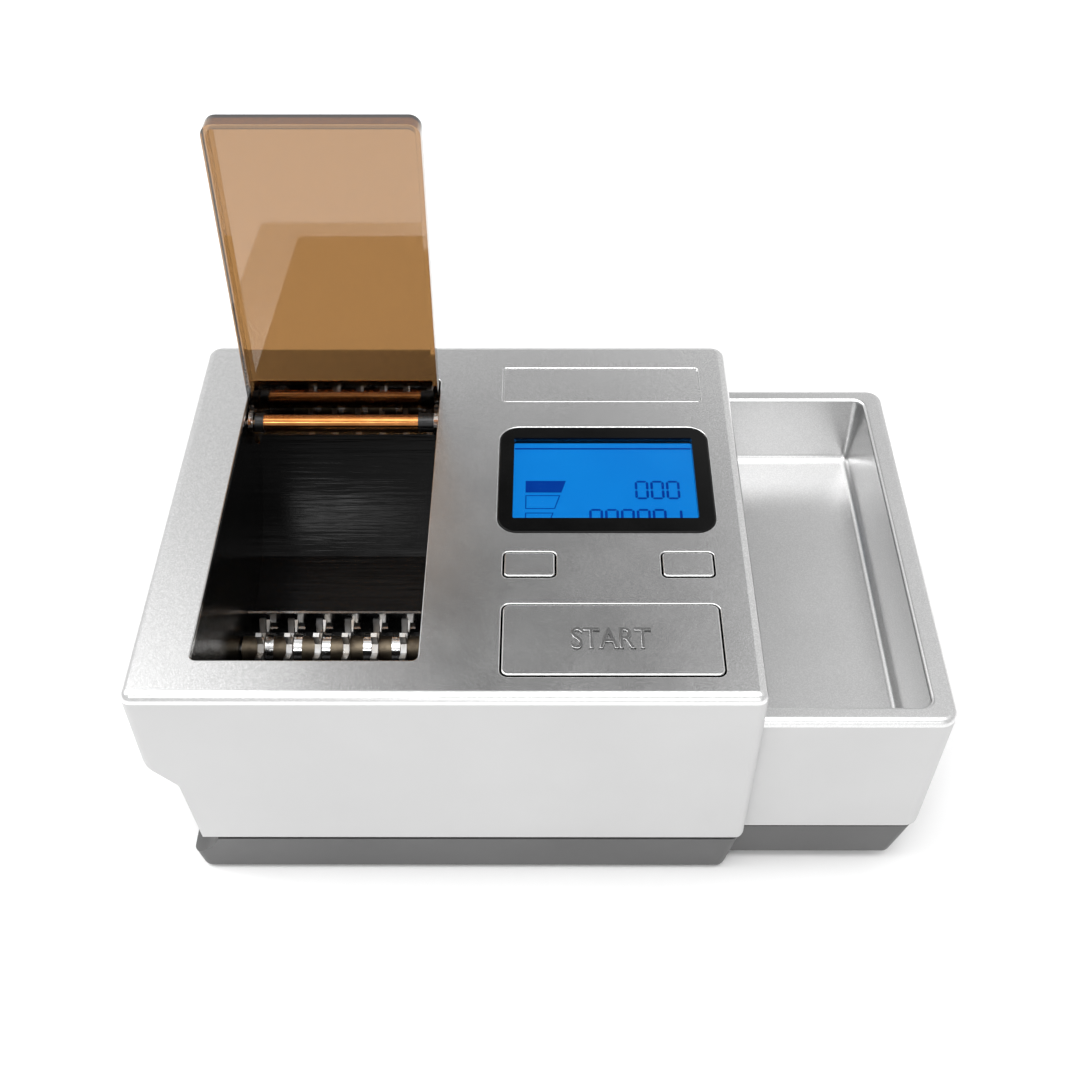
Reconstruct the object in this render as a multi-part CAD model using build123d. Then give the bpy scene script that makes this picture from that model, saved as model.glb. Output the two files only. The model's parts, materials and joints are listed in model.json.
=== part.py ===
"""Electric tabletop tube filling machine: hopper with a hinged lid, pickers, injector and a pull-out tray.

Millimetres, +Z up. Sub-parts are drawn with X=0 at the left side, Y=0 at the front face and Z=0 on
the table, and are moved together so that the origin is under the middle of the whole machine, with
the lid open and the drawer pulled out.
"""
import os
from math import cos, radians, sin, tan

from build123d import *

# ---------------------------------------------------------------- housing, driving dimensions
BODY_W = 240.0            # main body along X, at the top edge
BODY_D = 204.0            # main body along Y
FOOT_H = 2.5              # rubber feet under the base
BASE_H = 23.5             # grey base, from its underside to the seam
SHELL_H = 96.5            # light grey shell and silver cover above the seam
COVER_H = 4.0             # silver cover above the shell's edge
COVER_T = 2.5             # thickness of the cover's plate
WALL = 2.5                # side shell wall
EDGE_R = 3.7              # rounded top edge of the cover
CORNER_FRONT_R = 4.2      # plan corners at the front
CORNER_BACK_R = 6.5       # plan corners at the back
SIDE_DRAFT = 1.0          # how far the left and right walls lean in by the seam
RECESS_IN = 11.7          # how far the left wall steps in over the nozzle
RECESS_TOP = 53.5         # upper start of that step, above the seam
RECESS_BOTTOM = 39.0      # lower end of that step, above the seam
RECESS_TAPER = 2.7        # further lean of the lower left wall
BASE_SET = 1.0            # base set back from the shell on the right
BASE_LEFT = 5.4           # left end of the base, at the seam
BASE_TAPER = 12.0         # degrees that the base's two ends lean in
BASE_CORNER_R = 4.0       # its upright corners
BASE_END_R = 4.5          # its ends into its underside
BASE_WALL = 2.5
BASE_FLOOR = 2.0
BASE_FRONT_SET = 1.2      # base set back from the front and back faces
SEAM_GAP = 0.8            # shadow gap between the base and the shell
GROOVE_H = 2.8            # groove round the base's top edge, under the shell
GROOVE_IN = 1.5           # and its depth
SCOOP_R = 15.2            # dip in the base's front left corner, under the nozzle wall
SCOOP_X = 5.5             # middle of the dip's round
SCOOP_UP = 1.0            # and its height above the seam
SCOOP_BACK = 20.0         # how far back the dip runs
SEAM_Z = FOOT_H + BASE_H
TOP_Z = SEAM_Z + SHELL_H
SHELL_TOP = TOP_Z - COVER_H
PLATE_UNDER = TOP_Z - COVER_T

# ---------------------------------------------------------------- hopper and lid
HOP_X0 = 23.6             # hopper opening in the cover
HOP_W = 85.8
HOP_Y0 = 17.8
HOP_D = 161.8
HOP_R = 2.5
LINER_T = 1.6
LINER_GAP = 0.5           # liner's inner faces behind the edge of the opening
LID_GAP = 0.35            # all round the closed lid
LID_T = 2.2
LID_LIP = 9.0
LID_LIP_T = 2.0
LID_R = 5.0               # plan corners of the lid at its free end
HINGE_FROM_BACK = 17.8    # hinge axis in front of the opening's back edge
HINGE_DROP = 10.7         # hinge axis below the top face
LID_OPEN = 94.0           # degrees from closed
EAR_R = 6.5               # lid ears round the hinge rod
HINGE_ROD_R = 2.0
SLEEVE_R = 3.75
SLEEVE_LEFT = 6.6         # sleeve ends inside the hopper
SLEEVE_RIGHT = 9.7
RUN_FIT = 0.05            # radial clearance of a running fit
HOP_X1 = HOP_X0 + HOP_W
HOP_Y1 = HOP_Y0 + HOP_D
HINGE_Y = HOP_Y1 - HINGE_FROM_BACK
HINGE_Z = TOP_Z - HINGE_DROP

# ---------------------------------------------------------------- pickers
PICK_Y = 80.0
PICK_Z = 50.5
PICK_R = 14.5             # tips of the picker teeth
PICK_HUB_R = 8.2
PICK_T = 2.6
PICK_TEETH = 8
PICK_PITCH = 12.5
PICK_COUNT = 6
DRUM_R = 6.2
RING_R = 7.4
RING_T = 3.6
RING_OFFSETS = (9.0, 21.5, 34.0)
SHAFT_R = 3.0
TROUGH_R = 16.3           # liner trough round the pickers
COMB_T = 1.2
COMB_H = 13.0
COMB_NOTCH_W = 6.0

# ---------------------------------------------------------------- injector
CHAMBER_Y = 51.0
CHAMBER_Z = 40.0
CHAMBER_W = 18.0
CHAMBER_TOP = 46.0
CHAMBER_BOTTOM = 31.0
CHAMBER_BORE = 3.6
SPOON_R = 3.0
SPOON_T = 0.6
SPOON_L = 80.0
SPOON_TRAVEL = 75.0
NOZZLE_R = 3.75
NOZZLE_ROOT_R = 4.4       # thicker root that a tube butts against
NOZZLE_FREE = 10.8        # length of the thin end
NOZZLE_TIP = 1.5          # tip of the nozzle, from the machine's left side
SCREW_Z = 22.0
SCREW_R = 4.0
SCREW_END_R = 3.0
SLOT_W = 3.6
CARRIAGE_W = 8.0
GUIDE_R = 2.5
GUIDE_OUT = 12.0          # guide rod in front of the screw
PRESS_T = 1.4
PRESS_W = 15.0
PRESS_TRAVEL = 12.0

# ---------------------------------------------------------------- frame plates and drives
PLATE_T = 2.0
LEFT_PLATE_X = 18.0
RIGHT_PLATE_X = 116.0
BUSH_R = 5.5
GEAR_MODULE = 1.5
PICK_GEAR_TEETH = 36
PINION_TEETH = 20
GEAR_T = 3.4
GEAR_X = 112.0
PICK_MOTOR_Y = 110.3
PICK_MOTOR_R = 13.0
PICK_MOTOR_L = 46.0
DRIVE_MOTOR_Y = 84.0
DRIVE_MOTOR_Z = 18.5
DRIVE_MOTOR_R = 12.5
DRIVE_MOTOR_L = 48.0
PULLEY_R = 7.0
PULLEY_T = 4.6
PULLEY_X = 105.4
BELT_T = 1.2

# ---------------------------------------------------------------- drawer
DRAWER_L = 119.5          # along X
DRAWER_OUT = 75.5         # how far it is pulled out
DRAWER_SET = 5.8          # its sides behind the main body's front and back faces
DRAWER_DROP = 22.6        # its rim below the top face
DRAWER_RIM_T = 3.4
DRAWER_RIM_R = 2.6        # rounded outer edge of the rim
DRAWER_SIDE_RIM = 7.4     # width of the rim round the cavity
DRAWER_END_RIM = 9.4
DRAWER_DEPTH = 35.0
DRAWER_WALL = 2.2
DRAWER_R = 7.0            # outer plan corners
CAVITY_R = 4.5
CAVITY_TAPER = 5.0        # degrees
CAVITY_FLOOR_R = 3.5
DRAWER_DRAFT = 1.4        # degrees
DRAWER_BASE_LOW = 6.0     # underside of the drawer above the table
DRAWER_BASE_SET = 4.4     # its grey base behind its two ends
DRAWER_BASE_SIDE = 0.4    # and behind its front and back
DRAWER_BASE_TAPER = 17.0  # degrees that its ends lean in
DRAWER_BASE_DROP = 0.6    # its top edge below the seam
DRAWER_END_R = 3.0        # the skirt's ends into its lower edge
SLIDE_GAP = 0.5
DRAWER_TOP = TOP_Z - DRAWER_DROP
DRAWER_X1 = BODY_W + DRAWER_OUT
DRAWER_X0 = DRAWER_X1 - DRAWER_L
RIM_UNDER = DRAWER_TOP - DRAWER_RIM_T
FLOOR_Z = DRAWER_TOP - DRAWER_DEPTH

# ---------------------------------------------------------------- panel: keys, display, plate
KEY_GAP = 0.7
KEY_PROUD = 0.3
KEY_H = 4.6
KEY_FLANGE = 1.6
KEY_FLANGE_T = 1.2
START_X0 = 140.8
START_W = 83.4
START_Y0 = 10.8
START_D = 34.0
START_R = 2.6
START_TRAVEL = 1.5
SMALL_Y0 = 59.8
SMALL_D = 12.4
SMALL_R = 1.6
LEFT_KEY_X0 = 140.8
RIGHT_KEY_X0 = 204.0
SMALL_W = 20.0
SMALL_TRAVEL = 1.0
BEZEL_X0 = 137.2
BEZEL_W = 90.1
BEZEL_Y0 = 83.4
BEZEL_D = 63.6
BEZEL_R = 8.5
BEZEL_T = 1.6
BEZEL_PROUD = 0.2
WINDOW_X0 = 143.5
WINDOW_W = 76.8
WINDOW_Y0 = 91.7
WINDOW_D = 48.3
GLASS_T = 1.0
LCD_DROP = 3.4
LCD_T = 3.0
NAME_X0 = 137.7
NAME_W = 88.8
NAME_Y0 = 163.8
NAME_D = 23.4
NAME_DEEP = 1.0
NAME_GAP = 0.5
BOARD_Z = 106.0
BOARD_T = 1.6

# ---------------------------------------------------------------- back panel
INLET_X = 46.0
INLET_W = 26.0
INLET_H = 14.0
INLET_Z = 50.0
INLET_DEEP = 16.0
ROCKER_X = 82.0
ROCKER_W = 13.0
ROCKER_H = 19.0
ROCKER_SWING = 8.0        # degrees each way


def block(x, y, z):
    """Box between three (low, high) pairs."""
    sizes = [high - low for low, high in (x, y, z)]
    return Pos((x[0] + x[1]) / 2, (y[0] + y[1]) / 2, (z[0] + z[1]) / 2) * Box(*sizes)


def rod_x(x0, x1, y, z, radius):
    return Pos((x0 + x1) / 2, y, z) * Rot(0, 90, 0) * Cylinder(radius, x1 - x0)


def rod_y(x, y0, y1, z, radius):
    return Pos(x, (y0 + y1) / 2, z) * Rot(90, 0, 0) * Cylinder(radius, y1 - y0)


def rod_z(x, y, z0, z1, radius):
    return Pos(x, y, (z0 + z1) / 2) * Cylinder(radius, z1 - z0)


def plan(x, y, front_r, back_r):
    """Rectangle between (low, high) pairs, its front and back corners rounded."""
    face = Pos((x[0] + x[1]) / 2, (y[0] + y[1]) / 2) * Rectangle(x[1] - x[0], y[1] - y[0])
    face = fillet(face.vertices().group_by(Axis.Y)[-1], back_r)
    return fillet(face.vertices().group_by(Axis.Y)[0], front_r)


def upright(x, y, z, front_r, back_r=None):
    """Straight prism on a rounded plan."""
    face = plan(x, y, front_r, front_r if back_r is None else back_r)
    return extrude(Pos(0, 0, z[0]) * face, amount=z[1] - z[0])


def narrowing(x, y, z, radius, taper):
    """Prism on a rounded plan that narrows downwards by taper degrees from its top face."""
    top = Plane(origin=((x[0] + x[1]) / 2, (y[0] + y[1]) / 2, z[1]), x_dir=(1, 0, 0), z_dir=(0, 0, -1))
    face = top * RectangleRounded(x[1] - x[0], y[1] - y[0], radius)
    return extrude(face, amount=z[1] - z[0], taper=taper)


def end_profile(x, z, lean, radius):
    """Face in (X, Z) whose two ends lean in downwards by lean degrees into rounded lower corners."""
    run = (z[1] - z[0]) * tan(radians(lean))
    points = [(x[0] + run, z[0]), (x[1] - run, z[0]), (x[1], z[1]), (x[0], z[1])]
    face = make_face(Polyline(*points, close=True))
    return fillet(face.vertices().group_by(Axis.Y)[0], radius)


def pan_block(x, y, z, lean, corner_r, end_r):
    """Block with upright front and back, leaning ends, rounded corners and rounded lower ends."""
    run = (z[1] - z[0]) * tan(radians(lean))
    middle = (sum(x) / 2, sum(y) / 2)
    faces = [Plane(origin=(*middle, height)) * RectangleRounded(x[1] - x[0] - 2 * cut, y[1] - y[0], corner_r)
             for height, cut in ((z[0], run), (z[1], 0))]
    return loft(faces, ruled=True) & along_y(end_profile(x, z, lean, end_r), *y)


def along_x(face, x0, x1):
    """Sketch in (Y, Z) stretched along X."""
    return extrude(Plane.YZ.offset(x0) * face, amount=x1 - x0)


def along_y(face, y0, y1):
    """Sketch in (X, Z) stretched along Y."""
    return extrude(Plane.XZ.offset(-y1) * face, amount=y1 - y0)


def top_edges(shape, z):
    """Edges that lie in the level z."""
    return shape.edges().filter_by_position(Axis.Z, z - 0.01, z + 0.01)


# ---------------------------------------------------------------- housing
def key_outlines(gap):
    """Plan of the three keys, each grown by gap."""
    start = ((START_X0 - gap, START_X0 + START_W + gap), (START_Y0 - gap, START_Y0 + START_D + gap))
    small_y = (SMALL_Y0 - gap, SMALL_Y0 + SMALL_D + gap)
    left = ((LEFT_KEY_X0 - gap, LEFT_KEY_X0 + SMALL_W + gap), small_y)
    right = ((RIGHT_KEY_X0 - gap, RIGHT_KEY_X0 + SMALL_W + gap), small_y)
    return (*start, START_R + gap), (*left, SMALL_R + gap), (*right, SMALL_R + gap)


def board_posts():
    """Places of the posts that carry the control board."""
    xs = (BEZEL_X0 - 4.0, BEZEL_X0 + BEZEL_W + 4.0)
    return [(x, y) for x in xs for y in (START_Y0 + 8.0, BEZEL_Y0 + BEZEL_D)]


def make_top_cover():
    through = (PLATE_UNDER - 1, TOP_Z + 1)
    cover = upright((0, BODY_W), (0, BODY_D), (SHELL_TOP, TOP_Z), CORNER_FRONT_R, CORNER_BACK_R)
    cover = fillet(top_edges(cover, TOP_Z), EDGE_R)
    inside = ((WALL, BODY_W - WALL), (WALL, BODY_D - WALL), (SHELL_TOP - 1, PLATE_UNDER))
    cover -= upright(*inside, CORNER_FRONT_R / 2)
    cover -= upright((HOP_X0, HOP_X1), (HOP_Y0, HOP_Y1), through, HOP_R)
    for x, y, radius in key_outlines(KEY_GAP):
        cover -= upright(x, y, through, radius)
    bezel = ((BEZEL_X0, BEZEL_X0 + BEZEL_W), (BEZEL_Y0, BEZEL_Y0 + BEZEL_D))
    cover -= upright(*bezel, (TOP_Z - BEZEL_T + BEZEL_PROUD, TOP_Z + 1), BEZEL_R)
    name = ((NAME_X0, NAME_X0 + NAME_W), (NAME_Y0, NAME_Y0 + NAME_D))
    cover -= upright(*name, (TOP_Z - NAME_DEEP, TOP_Z + 1), 1.5)
    inner = [e for e in top_edges(cover, TOP_Z) if HOP_Y0 / 2 < e.center().Y < BODY_D - 10
             and HOP_X0 / 2 < e.center().X < BODY_W - 8]
    cover = fillet(inner, 0.45)
    cover -= block((WINDOW_X0 - 2, WINDOW_X0 + WINDOW_W + 2), (WINDOW_Y0 - 2, WINDOW_Y0 + WINDOW_D + 2), through)
    for x, y in board_posts():
        cover += rod_z(x, y, BOARD_Z + BOARD_T, PLATE_UNDER, 3.0)
    return cover


def shell_profile(inset, low, high):
    """Front outline of the side shell in (X, Z), its sides moved in by inset."""
    lean = SIDE_DRAFT / (SHELL_TOP - SEAM_Z)
    step_z = SEAM_Z + RECESS_TOP
    step_x = inset + lean * (SHELL_TOP - step_z)
    lower_z = SEAM_Z + RECESS_BOTTOM
    foot_x = step_x + RECESS_IN + RECESS_TAPER * (lower_z - low) / RECESS_BOTTOM
    right = BODY_W - inset
    points = [(inset + lean * (SHELL_TOP - high), high), (step_x, step_z), (step_x + RECESS_IN, lower_z),
              (foot_x, low), (right - SIDE_DRAFT, low), (right, high)]
    face = make_face(Polyline(*points, close=True))
    face = fillet(face.vertices().sort_by_distance((*points[1], 0))[0], 8.0)
    face = fillet(face.vertices().sort_by_distance((*points[2], 0))[0], 5.0)
    return face


def drawer_opening():
    """Space in (Y, Z) that the drawer passes through."""
    return (DRAWER_SET - SLIDE_GAP, BODY_D - DRAWER_SET + SLIDE_GAP), (0, DRAWER_TOP + SLIDE_GAP)


def make_side_shell():
    low = SEAM_Z + SEAM_GAP
    shell = along_y(shell_profile(0, low, SHELL_TOP), 0, BODY_D)
    shell &= upright((0, BODY_W), (0, BODY_D), (low, SHELL_TOP), CORNER_FRONT_R, CORNER_BACK_R)
    shell -= along_y(shell_profile(WALL, low - 1, SHELL_TOP + 1), WALL, BODY_D - WALL)
    gap_y, gap_z = drawer_opening()
    shell -= block((BODY_W / 2, BODY_W + 1), gap_y, gap_z)
    right_low = shell.edges().filter_by(Axis.Y).sort_by_distance((BODY_W, 0, low))[0:1]
    shell = fillet(right_low, 2.5)
    shell -= rod_x(-1, HOP_X0, CHAMBER_Y, CHAMBER_Z, NOZZLE_ROOT_R + 0.3)
    shell -= inlet_box(0)
    shell -= rocker_box(0)
    return shell


def make_base_pan():
    x = (BASE_LEFT, BODY_W - BASE_SET)
    y = (BASE_FRONT_SET, BODY_D - BASE_FRONT_SET)
    pan = pan_block(x, y, (FOOT_H, SEAM_Z), BASE_TAPER, BASE_CORNER_R, BASE_END_R)
    inner_x = (x[0] + BASE_WALL, BODY_W + DRAWER_OUT)
    inner_y = (y[0] + BASE_WALL, y[1] - BASE_WALL)
    floor = FOOT_H + BASE_FLOOR
    room = pan_block(inner_x, inner_y, (floor, SEAM_Z + 0.01), BASE_TAPER, BASE_CORNER_R - BASE_WALL, BASE_END_R)
    pan -= room - scoop(BASE_WALL)
    pan -= scoop(0)
    band = (SEAM_Z - GROOVE_H, SEAM_Z + 1)
    kept = [(low + GROOVE_IN, high - GROOVE_IN) for low, high in (x, y)]
    pan -= upright(x, y, band, 0.1) - upright(*kept, band, BASE_CORNER_R - GROOVE_IN)
    for x0, y0 in screw_places():
        pan -= rod_z(x0, y0, 0, SEAM_Z, 1.6)
    return pan


def scoop(grow):
    """Dip under the nozzle wall, grown outwards."""
    return rod_y(SCOOP_X, -1, SCOOP_BACK + grow, SEAM_Z + SCOOP_UP, SCOOP_R + grow)


def screw_places():
    """Screws that hold the two frame plates down on the base."""
    xs = (LEFT_PLATE_X + 6.0, RIGHT_PLATE_X - 4.0)
    return [(x, y) for x in xs for y in (44.0, BODY_D - 60.0)]


def make_feet():
    places = [(x, y) for x in (30.0, BODY_W - 30.0) for y in (25.0, BODY_D - 25.0)]
    return [rod_z(x, y, 0, FOOT_H, 7.0) for x, y in places]


def make_base_screws():
    return [rod_z(x, y, FOOT_H - 1.4, FOOT_H, 3.0) + rod_z(x, y, FOOT_H, FOOT_H + 7.0, 1.6)
            for x, y in screw_places()]


# ---------------------------------------------------------------- hopper
def liner_face(grow):
    """Hopper cavity in (Y, Z), grown outwards: chute, picker trough, floor and curved back wall."""
    front = HOP_Y0 - LINER_GAP - grow
    back = HOP_Y1 + LINER_GAP + 0.4 + grow
    top = TOP_Z + 1
    floor = CHAMBER_TOP + 2.0 + LINER_T - grow
    chute = floor + (CHAMBER_Y - 13.0 - front) * 1.0
    radius = TROUGH_R + grow
    lip_y = PICK_Y - (radius ** 2 - (PICK_Z - floor) ** 2) ** 0.5
    heel = (PICK_Y + radius * cos(radians(30)), PICK_Z - radius * sin(radians(30)))
    shelf = (PICK_Y + 58.0, heel[1] + 6.0)
    upper = (back, TOP_Z - 24.0)
    middle = ((shelf[0] + upper[0]) / 2 + 4.5, (shelf[1] + upper[1]) / 2 - 1.5)
    edges = Polyline((front, top), (front, chute), (CHAMBER_Y - 13.0, floor), (lip_y, floor))
    edges += ThreePointArc((lip_y, floor), (PICK_Y, PICK_Z - radius), heel)
    edges += Line(heel, shelf)
    edges += ThreePointArc(shelf, middle, upper)
    edges += Polyline(upper, (back, top), (front, top))
    return make_face(edges)


def make_hopper_liner():
    x0 = HOP_X0 - LINER_GAP
    x1 = HOP_X1 + LINER_GAP
    liner = along_x(liner_face(LINER_T), x0 - LINER_T, x1 + LINER_T)
    liner -= along_x(liner_face(0), x0, x1)
    liner -= block((0, BODY_W), (0, BODY_D), (PLATE_UNDER, TOP_Z + 2))
    mouth = (CHAMBER_Y - CHAMBER_BORE, CHAMBER_Y + CHAMBER_BORE)
    liner -= block((x0 + 2, x1 - 2), mouth, (CHAMBER_TOP, CHAMBER_TOP + 5.0))
    liner -= rod_x(0, BODY_W, PICK_Y, PICK_Z, SHAFT_R + 0.5)
    liner -= rod_x(0, BODY_W, HINGE_Y, HINGE_Z, HINGE_ROD_R)
    return liner


def wheel_places():
    middle = (HOP_X0 + HOP_X1) / 2 - 2.75
    first = middle - PICK_PITCH * (PICK_COUNT - 1) / 2
    return [first + PICK_PITCH * i for i in range(PICK_COUNT)]


def make_comb_plate():
    """Bright stripper plate behind the pickers, notched below for their teeth."""
    y0 = PICK_Y + TROUGH_R + 0.3
    low = PICK_Z - TROUGH_R / 2 + (y0 - PICK_Y - TROUGH_R * cos(radians(30))) * 6.0 / 40.0 + 0.2
    plate = block((HOP_X0, HOP_X1), (y0, y0 + COMB_T), (low, low + COMB_H))
    for x in wheel_places():
        half = COMB_NOTCH_W / 2
        plate -= block((x - half, x + half), (y0 - 1, y0 + COMB_T + 1), (low + 2.0, low + 6.5))
    return plate


# ---------------------------------------------------------------- lid
def opened(shape):
    """Turn a shape of the closed lid about the hinge to where the open lid stands."""
    return Pos(0, HINGE_Y, HINGE_Z) * Rot(-LID_OPEN, 0, 0) * Pos(0, -HINGE_Y, -HINGE_Z) * shape


def make_lid():
    x = (HOP_X0 + LID_GAP, HOP_X1 - LID_GAP)
    reach = ((HINGE_FROM_BACK - LID_GAP) ** 2 - HINGE_DROP ** 2) ** 0.5 - 0.2
    y = (HOP_Y0 + LID_GAP, HINGE_Y + reach)
    lid = upright(x, y, (TOP_Z - LID_LIP, TOP_Z), LID_R, 0.8)
    lid = fillet(top_edges(lid, TOP_Z), 0.7)
    inner_x = (x[0] + LID_LIP_T, x[1] - LID_LIP_T)
    inner_y = (y[0] + LID_LIP_T, y[1] + 10.0)
    lid -= upright(inner_x, inner_y, (TOP_Z - LID_LIP - 1, TOP_Z - LID_T), LID_R - LID_LIP_T, 0.5)
    for x0, x1 in ((x[0], inner_x[0]), (inner_x[1], x[1])):
        lid += rod_x(x0, x1, HINGE_Y, HINGE_Z, EAR_R)
    lid -= rod_x(0, BODY_W, HINGE_Y, HINGE_Z, HINGE_ROD_R + RUN_FIT)
    return opened(lid)


def hinge_stations():
    """X of the collar ends and the sleeve ends, from left to right."""
    left = HOP_X0 + LID_GAP + LID_LIP_T + 0.35
    right = HOP_X1 - LID_GAP - LID_LIP_T - 0.35
    return left, HOP_X0 + SLEEVE_LEFT, HOP_X1 - SLEEVE_RIGHT, right


def make_hinge_rod():
    x0 = HOP_X0 - LINER_GAP - LINER_T
    return rod_x(x0, HOP_X1 + LINER_GAP + LINER_T, HINGE_Y, HINGE_Z, HINGE_ROD_R)


def make_hinge_sleeve():
    _, x0, x1, _ = hinge_stations()
    return rod_x(x0, x1, HINGE_Y, HINGE_Z, SLEEVE_R) - rod_x(0, BODY_W, HINGE_Y, HINGE_Z, HINGE_ROD_R)


def make_hinge_collars():
    x0, x1, x2, x3 = hinge_stations()
    bore = rod_x(0, BODY_W, HINGE_Y, HINGE_Z, HINGE_ROD_R)
    return [rod_x(a, b, HINGE_Y, HINGE_Z, SLEEVE_R + 0.6) - bore for a, b in ((x0, x1), (x2, x3))]


# ---------------------------------------------------------------- pickers
def toothed(teeth, root, tip, root_share, tip_share, phase):
    """Outline of a wheel with straight-sided teeth; the shares are half widths in tooth pitches."""
    step = 360 / teeth
    points = []
    for i in range(teeth):
        for share, radius in ((-root_share, root), (-tip_share, tip), (tip_share, tip), (root_share, root)):
            angle = radians((i + share) * step + phase)
            points.append((radius * cos(angle), radius * sin(angle)))
    return make_face(Polyline(*points, close=True))


def gear(teeth, x0, y, z, phase, bore):
    pitch_r = GEAR_MODULE * teeth / 2
    face = toothed(teeth, pitch_r - 1.2 * GEAR_MODULE, pitch_r + 0.85 * GEAR_MODULE, 0.30, 0.13, phase)
    return along_x(Pos(y, z) * face, x0, x0 + GEAR_T) - rod_x(x0 - 1, x0 + GEAR_T + 1, y, z, bore)


def pinion_centre():
    """Axis of the picker motor, a gear mesh away from the picker shaft."""
    reach = GEAR_MODULE * (PICK_GEAR_TEETH + PINION_TEETH) / 2
    drop = (reach ** 2 - (PICK_MOTOR_Y - PICK_Y) ** 2) ** 0.5
    return PICK_MOTOR_Y, PICK_Z - drop


def mesh_angle():
    y, z = pinion_centre()
    return Vector(y - PICK_Y, z - PICK_Z, 0).get_signed_angle(Vector(1, 0, 0), Vector(0, 0, -1))


def make_picker_shaft():
    return rod_x(LEFT_PLATE_X, RIGHT_PLATE_X + PLATE_T, PICK_Y, PICK_Z, SHAFT_R)


def make_picker_wheels():
    face = toothed(PICK_TEETH, PICK_HUB_R, PICK_R, 0.20, 0.085, 12.0)
    bore = rod_x(0, BODY_W, PICK_Y, PICK_Z, SHAFT_R)
    return [along_x(Pos(PICK_Y, PICK_Z) * face, x - PICK_T / 2, x + PICK_T / 2) - bore for x in wheel_places()]


def make_picker_drum():
    """Spacer tubes between the picker wheels."""
    ends = [HOP_X0 + 0.2] + [x + side * PICK_T / 2 for x in wheel_places() for side in (-1, 1)]
    ends += [HOP_X1 - 0.2]
    bore = rod_x(0, BODY_W, PICK_Y, PICK_Z, SHAFT_R)
    return [rod_x(a, b, PICK_Y, PICK_Z, DRUM_R) - bore for a, b in zip(ends[0::2], ends[1::2])]


def make_spacer_rings():
    middle = wheel_places()[PICK_COUNT // 2]
    bore = rod_x(0, BODY_W, PICK_Y, PICK_Z, DRUM_R)
    places = [middle + side * offset for offset in RING_OFFSETS for side in (-1, 1)]
    return [rod_x(x - RING_T / 2, x + RING_T / 2, PICK_Y, PICK_Z, RING_R) - bore for x in places]


def make_picker_gear():
    return gear(PICK_GEAR_TEETH, GEAR_X, PICK_Y, PICK_Z, mesh_angle(), SHAFT_R)


def make_picker_pinion():
    y, z = pinion_centre()
    phase = mesh_angle() + 180 + 180 / PINION_TEETH
    shaft = rod_x(GEAR_X - 1.7, RIGHT_PLATE_X - 0.3, y, z, 2.5)
    return gear(PINION_TEETH, GEAR_X, y, z, phase, 2.5) + shaft


def make_picker_motor():
    y, z = pinion_centre()
    can = rod_x(GEAR_X - 2.0 - PICK_MOTOR_L, GEAR_X - 2.0, y, z, PICK_MOTOR_R)
    return fillet(can.edges(), 1.2)


def make_drive_motor():
    x1 = PULLEY_X - 2.4
    can = rod_x(x1 - DRIVE_MOTOR_L, x1, DRIVE_MOTOR_Y, DRIVE_MOTOR_Z, DRIVE_MOTOR_R)
    return fillet(can.edges(), 1.2)


def make_motor_saddle():
    """Cradle on the base under the two motors."""
    y, z = pinion_centre()
    floor = FOOT_H + BASE_FLOOR
    saddle = block((72, 84), (DRIVE_MOTOR_Y - DRIVE_MOTOR_R, y + PICK_MOTOR_R), (floor, floor + 11.0))
    saddle -= rod_x(0, BODY_W, DRIVE_MOTOR_Y, DRIVE_MOTOR_Z, DRIVE_MOTOR_R)
    return saddle - rod_x(0, BODY_W, y, z, PICK_MOTOR_R)


# ---------------------------------------------------------------- injector
def carriage_x():
    """Low and high X of the carriage at rest, beside the screw pulley."""
    x1 = PULLEY_X - 1.2
    return x1 - CARRIAGE_W, x1


def make_chamber_block():
    """Block with the tobacco chamber: open above, slotted below for the carriage arm."""
    x0 = LEFT_PLATE_X + PLATE_T
    x1 = GEAR_X - 0.8
    y = (CHAMBER_Y - CHAMBER_W / 2, CHAMBER_Y + CHAMBER_W / 2)
    z = (CHAMBER_BOTTOM, CHAMBER_TOP)
    solid = block((x0, x1), y, z) + block((x1, RIGHT_PLATE_X), (y[0], y[0] + 8.0), z)
    solid -= rod_x(x0 - 1, x0 + 2, CHAMBER_Y, CHAMBER_Z, NOZZLE_ROOT_R)
    solid -= rod_x(x0, x1 - 3, CHAMBER_Y, CHAMBER_Z, CHAMBER_BORE)
    mouth = (CHAMBER_Y - CHAMBER_BORE, CHAMBER_Y + CHAMBER_BORE)
    solid -= block((x0 + 4, x1 - 3), mouth, (CHAMBER_Z, CHAMBER_TOP + 1))
    slot = (CHAMBER_Y - SLOT_W / 2, CHAMBER_Y + SLOT_W / 2)
    return solid - block((x0 - 1, x1 - 3), slot, (CHAMBER_BOTTOM - 1, CHAMBER_Z))


def make_tube_nozzle():
    x1 = LEFT_PLATE_X + PLATE_T + 2.0
    nozzle = rod_x(NOZZLE_TIP, x1, CHAMBER_Y, CHAMBER_Z, NOZZLE_R)
    nozzle += rod_x(NOZZLE_TIP + NOZZLE_FREE, x1, CHAMBER_Y, CHAMBER_Z, NOZZLE_ROOT_R)
    return nozzle - rod_x(NOZZLE_TIP - 1, x1 + 1, CHAMBER_Y, CHAMBER_Z, SPOON_R + 0.4)


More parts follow.
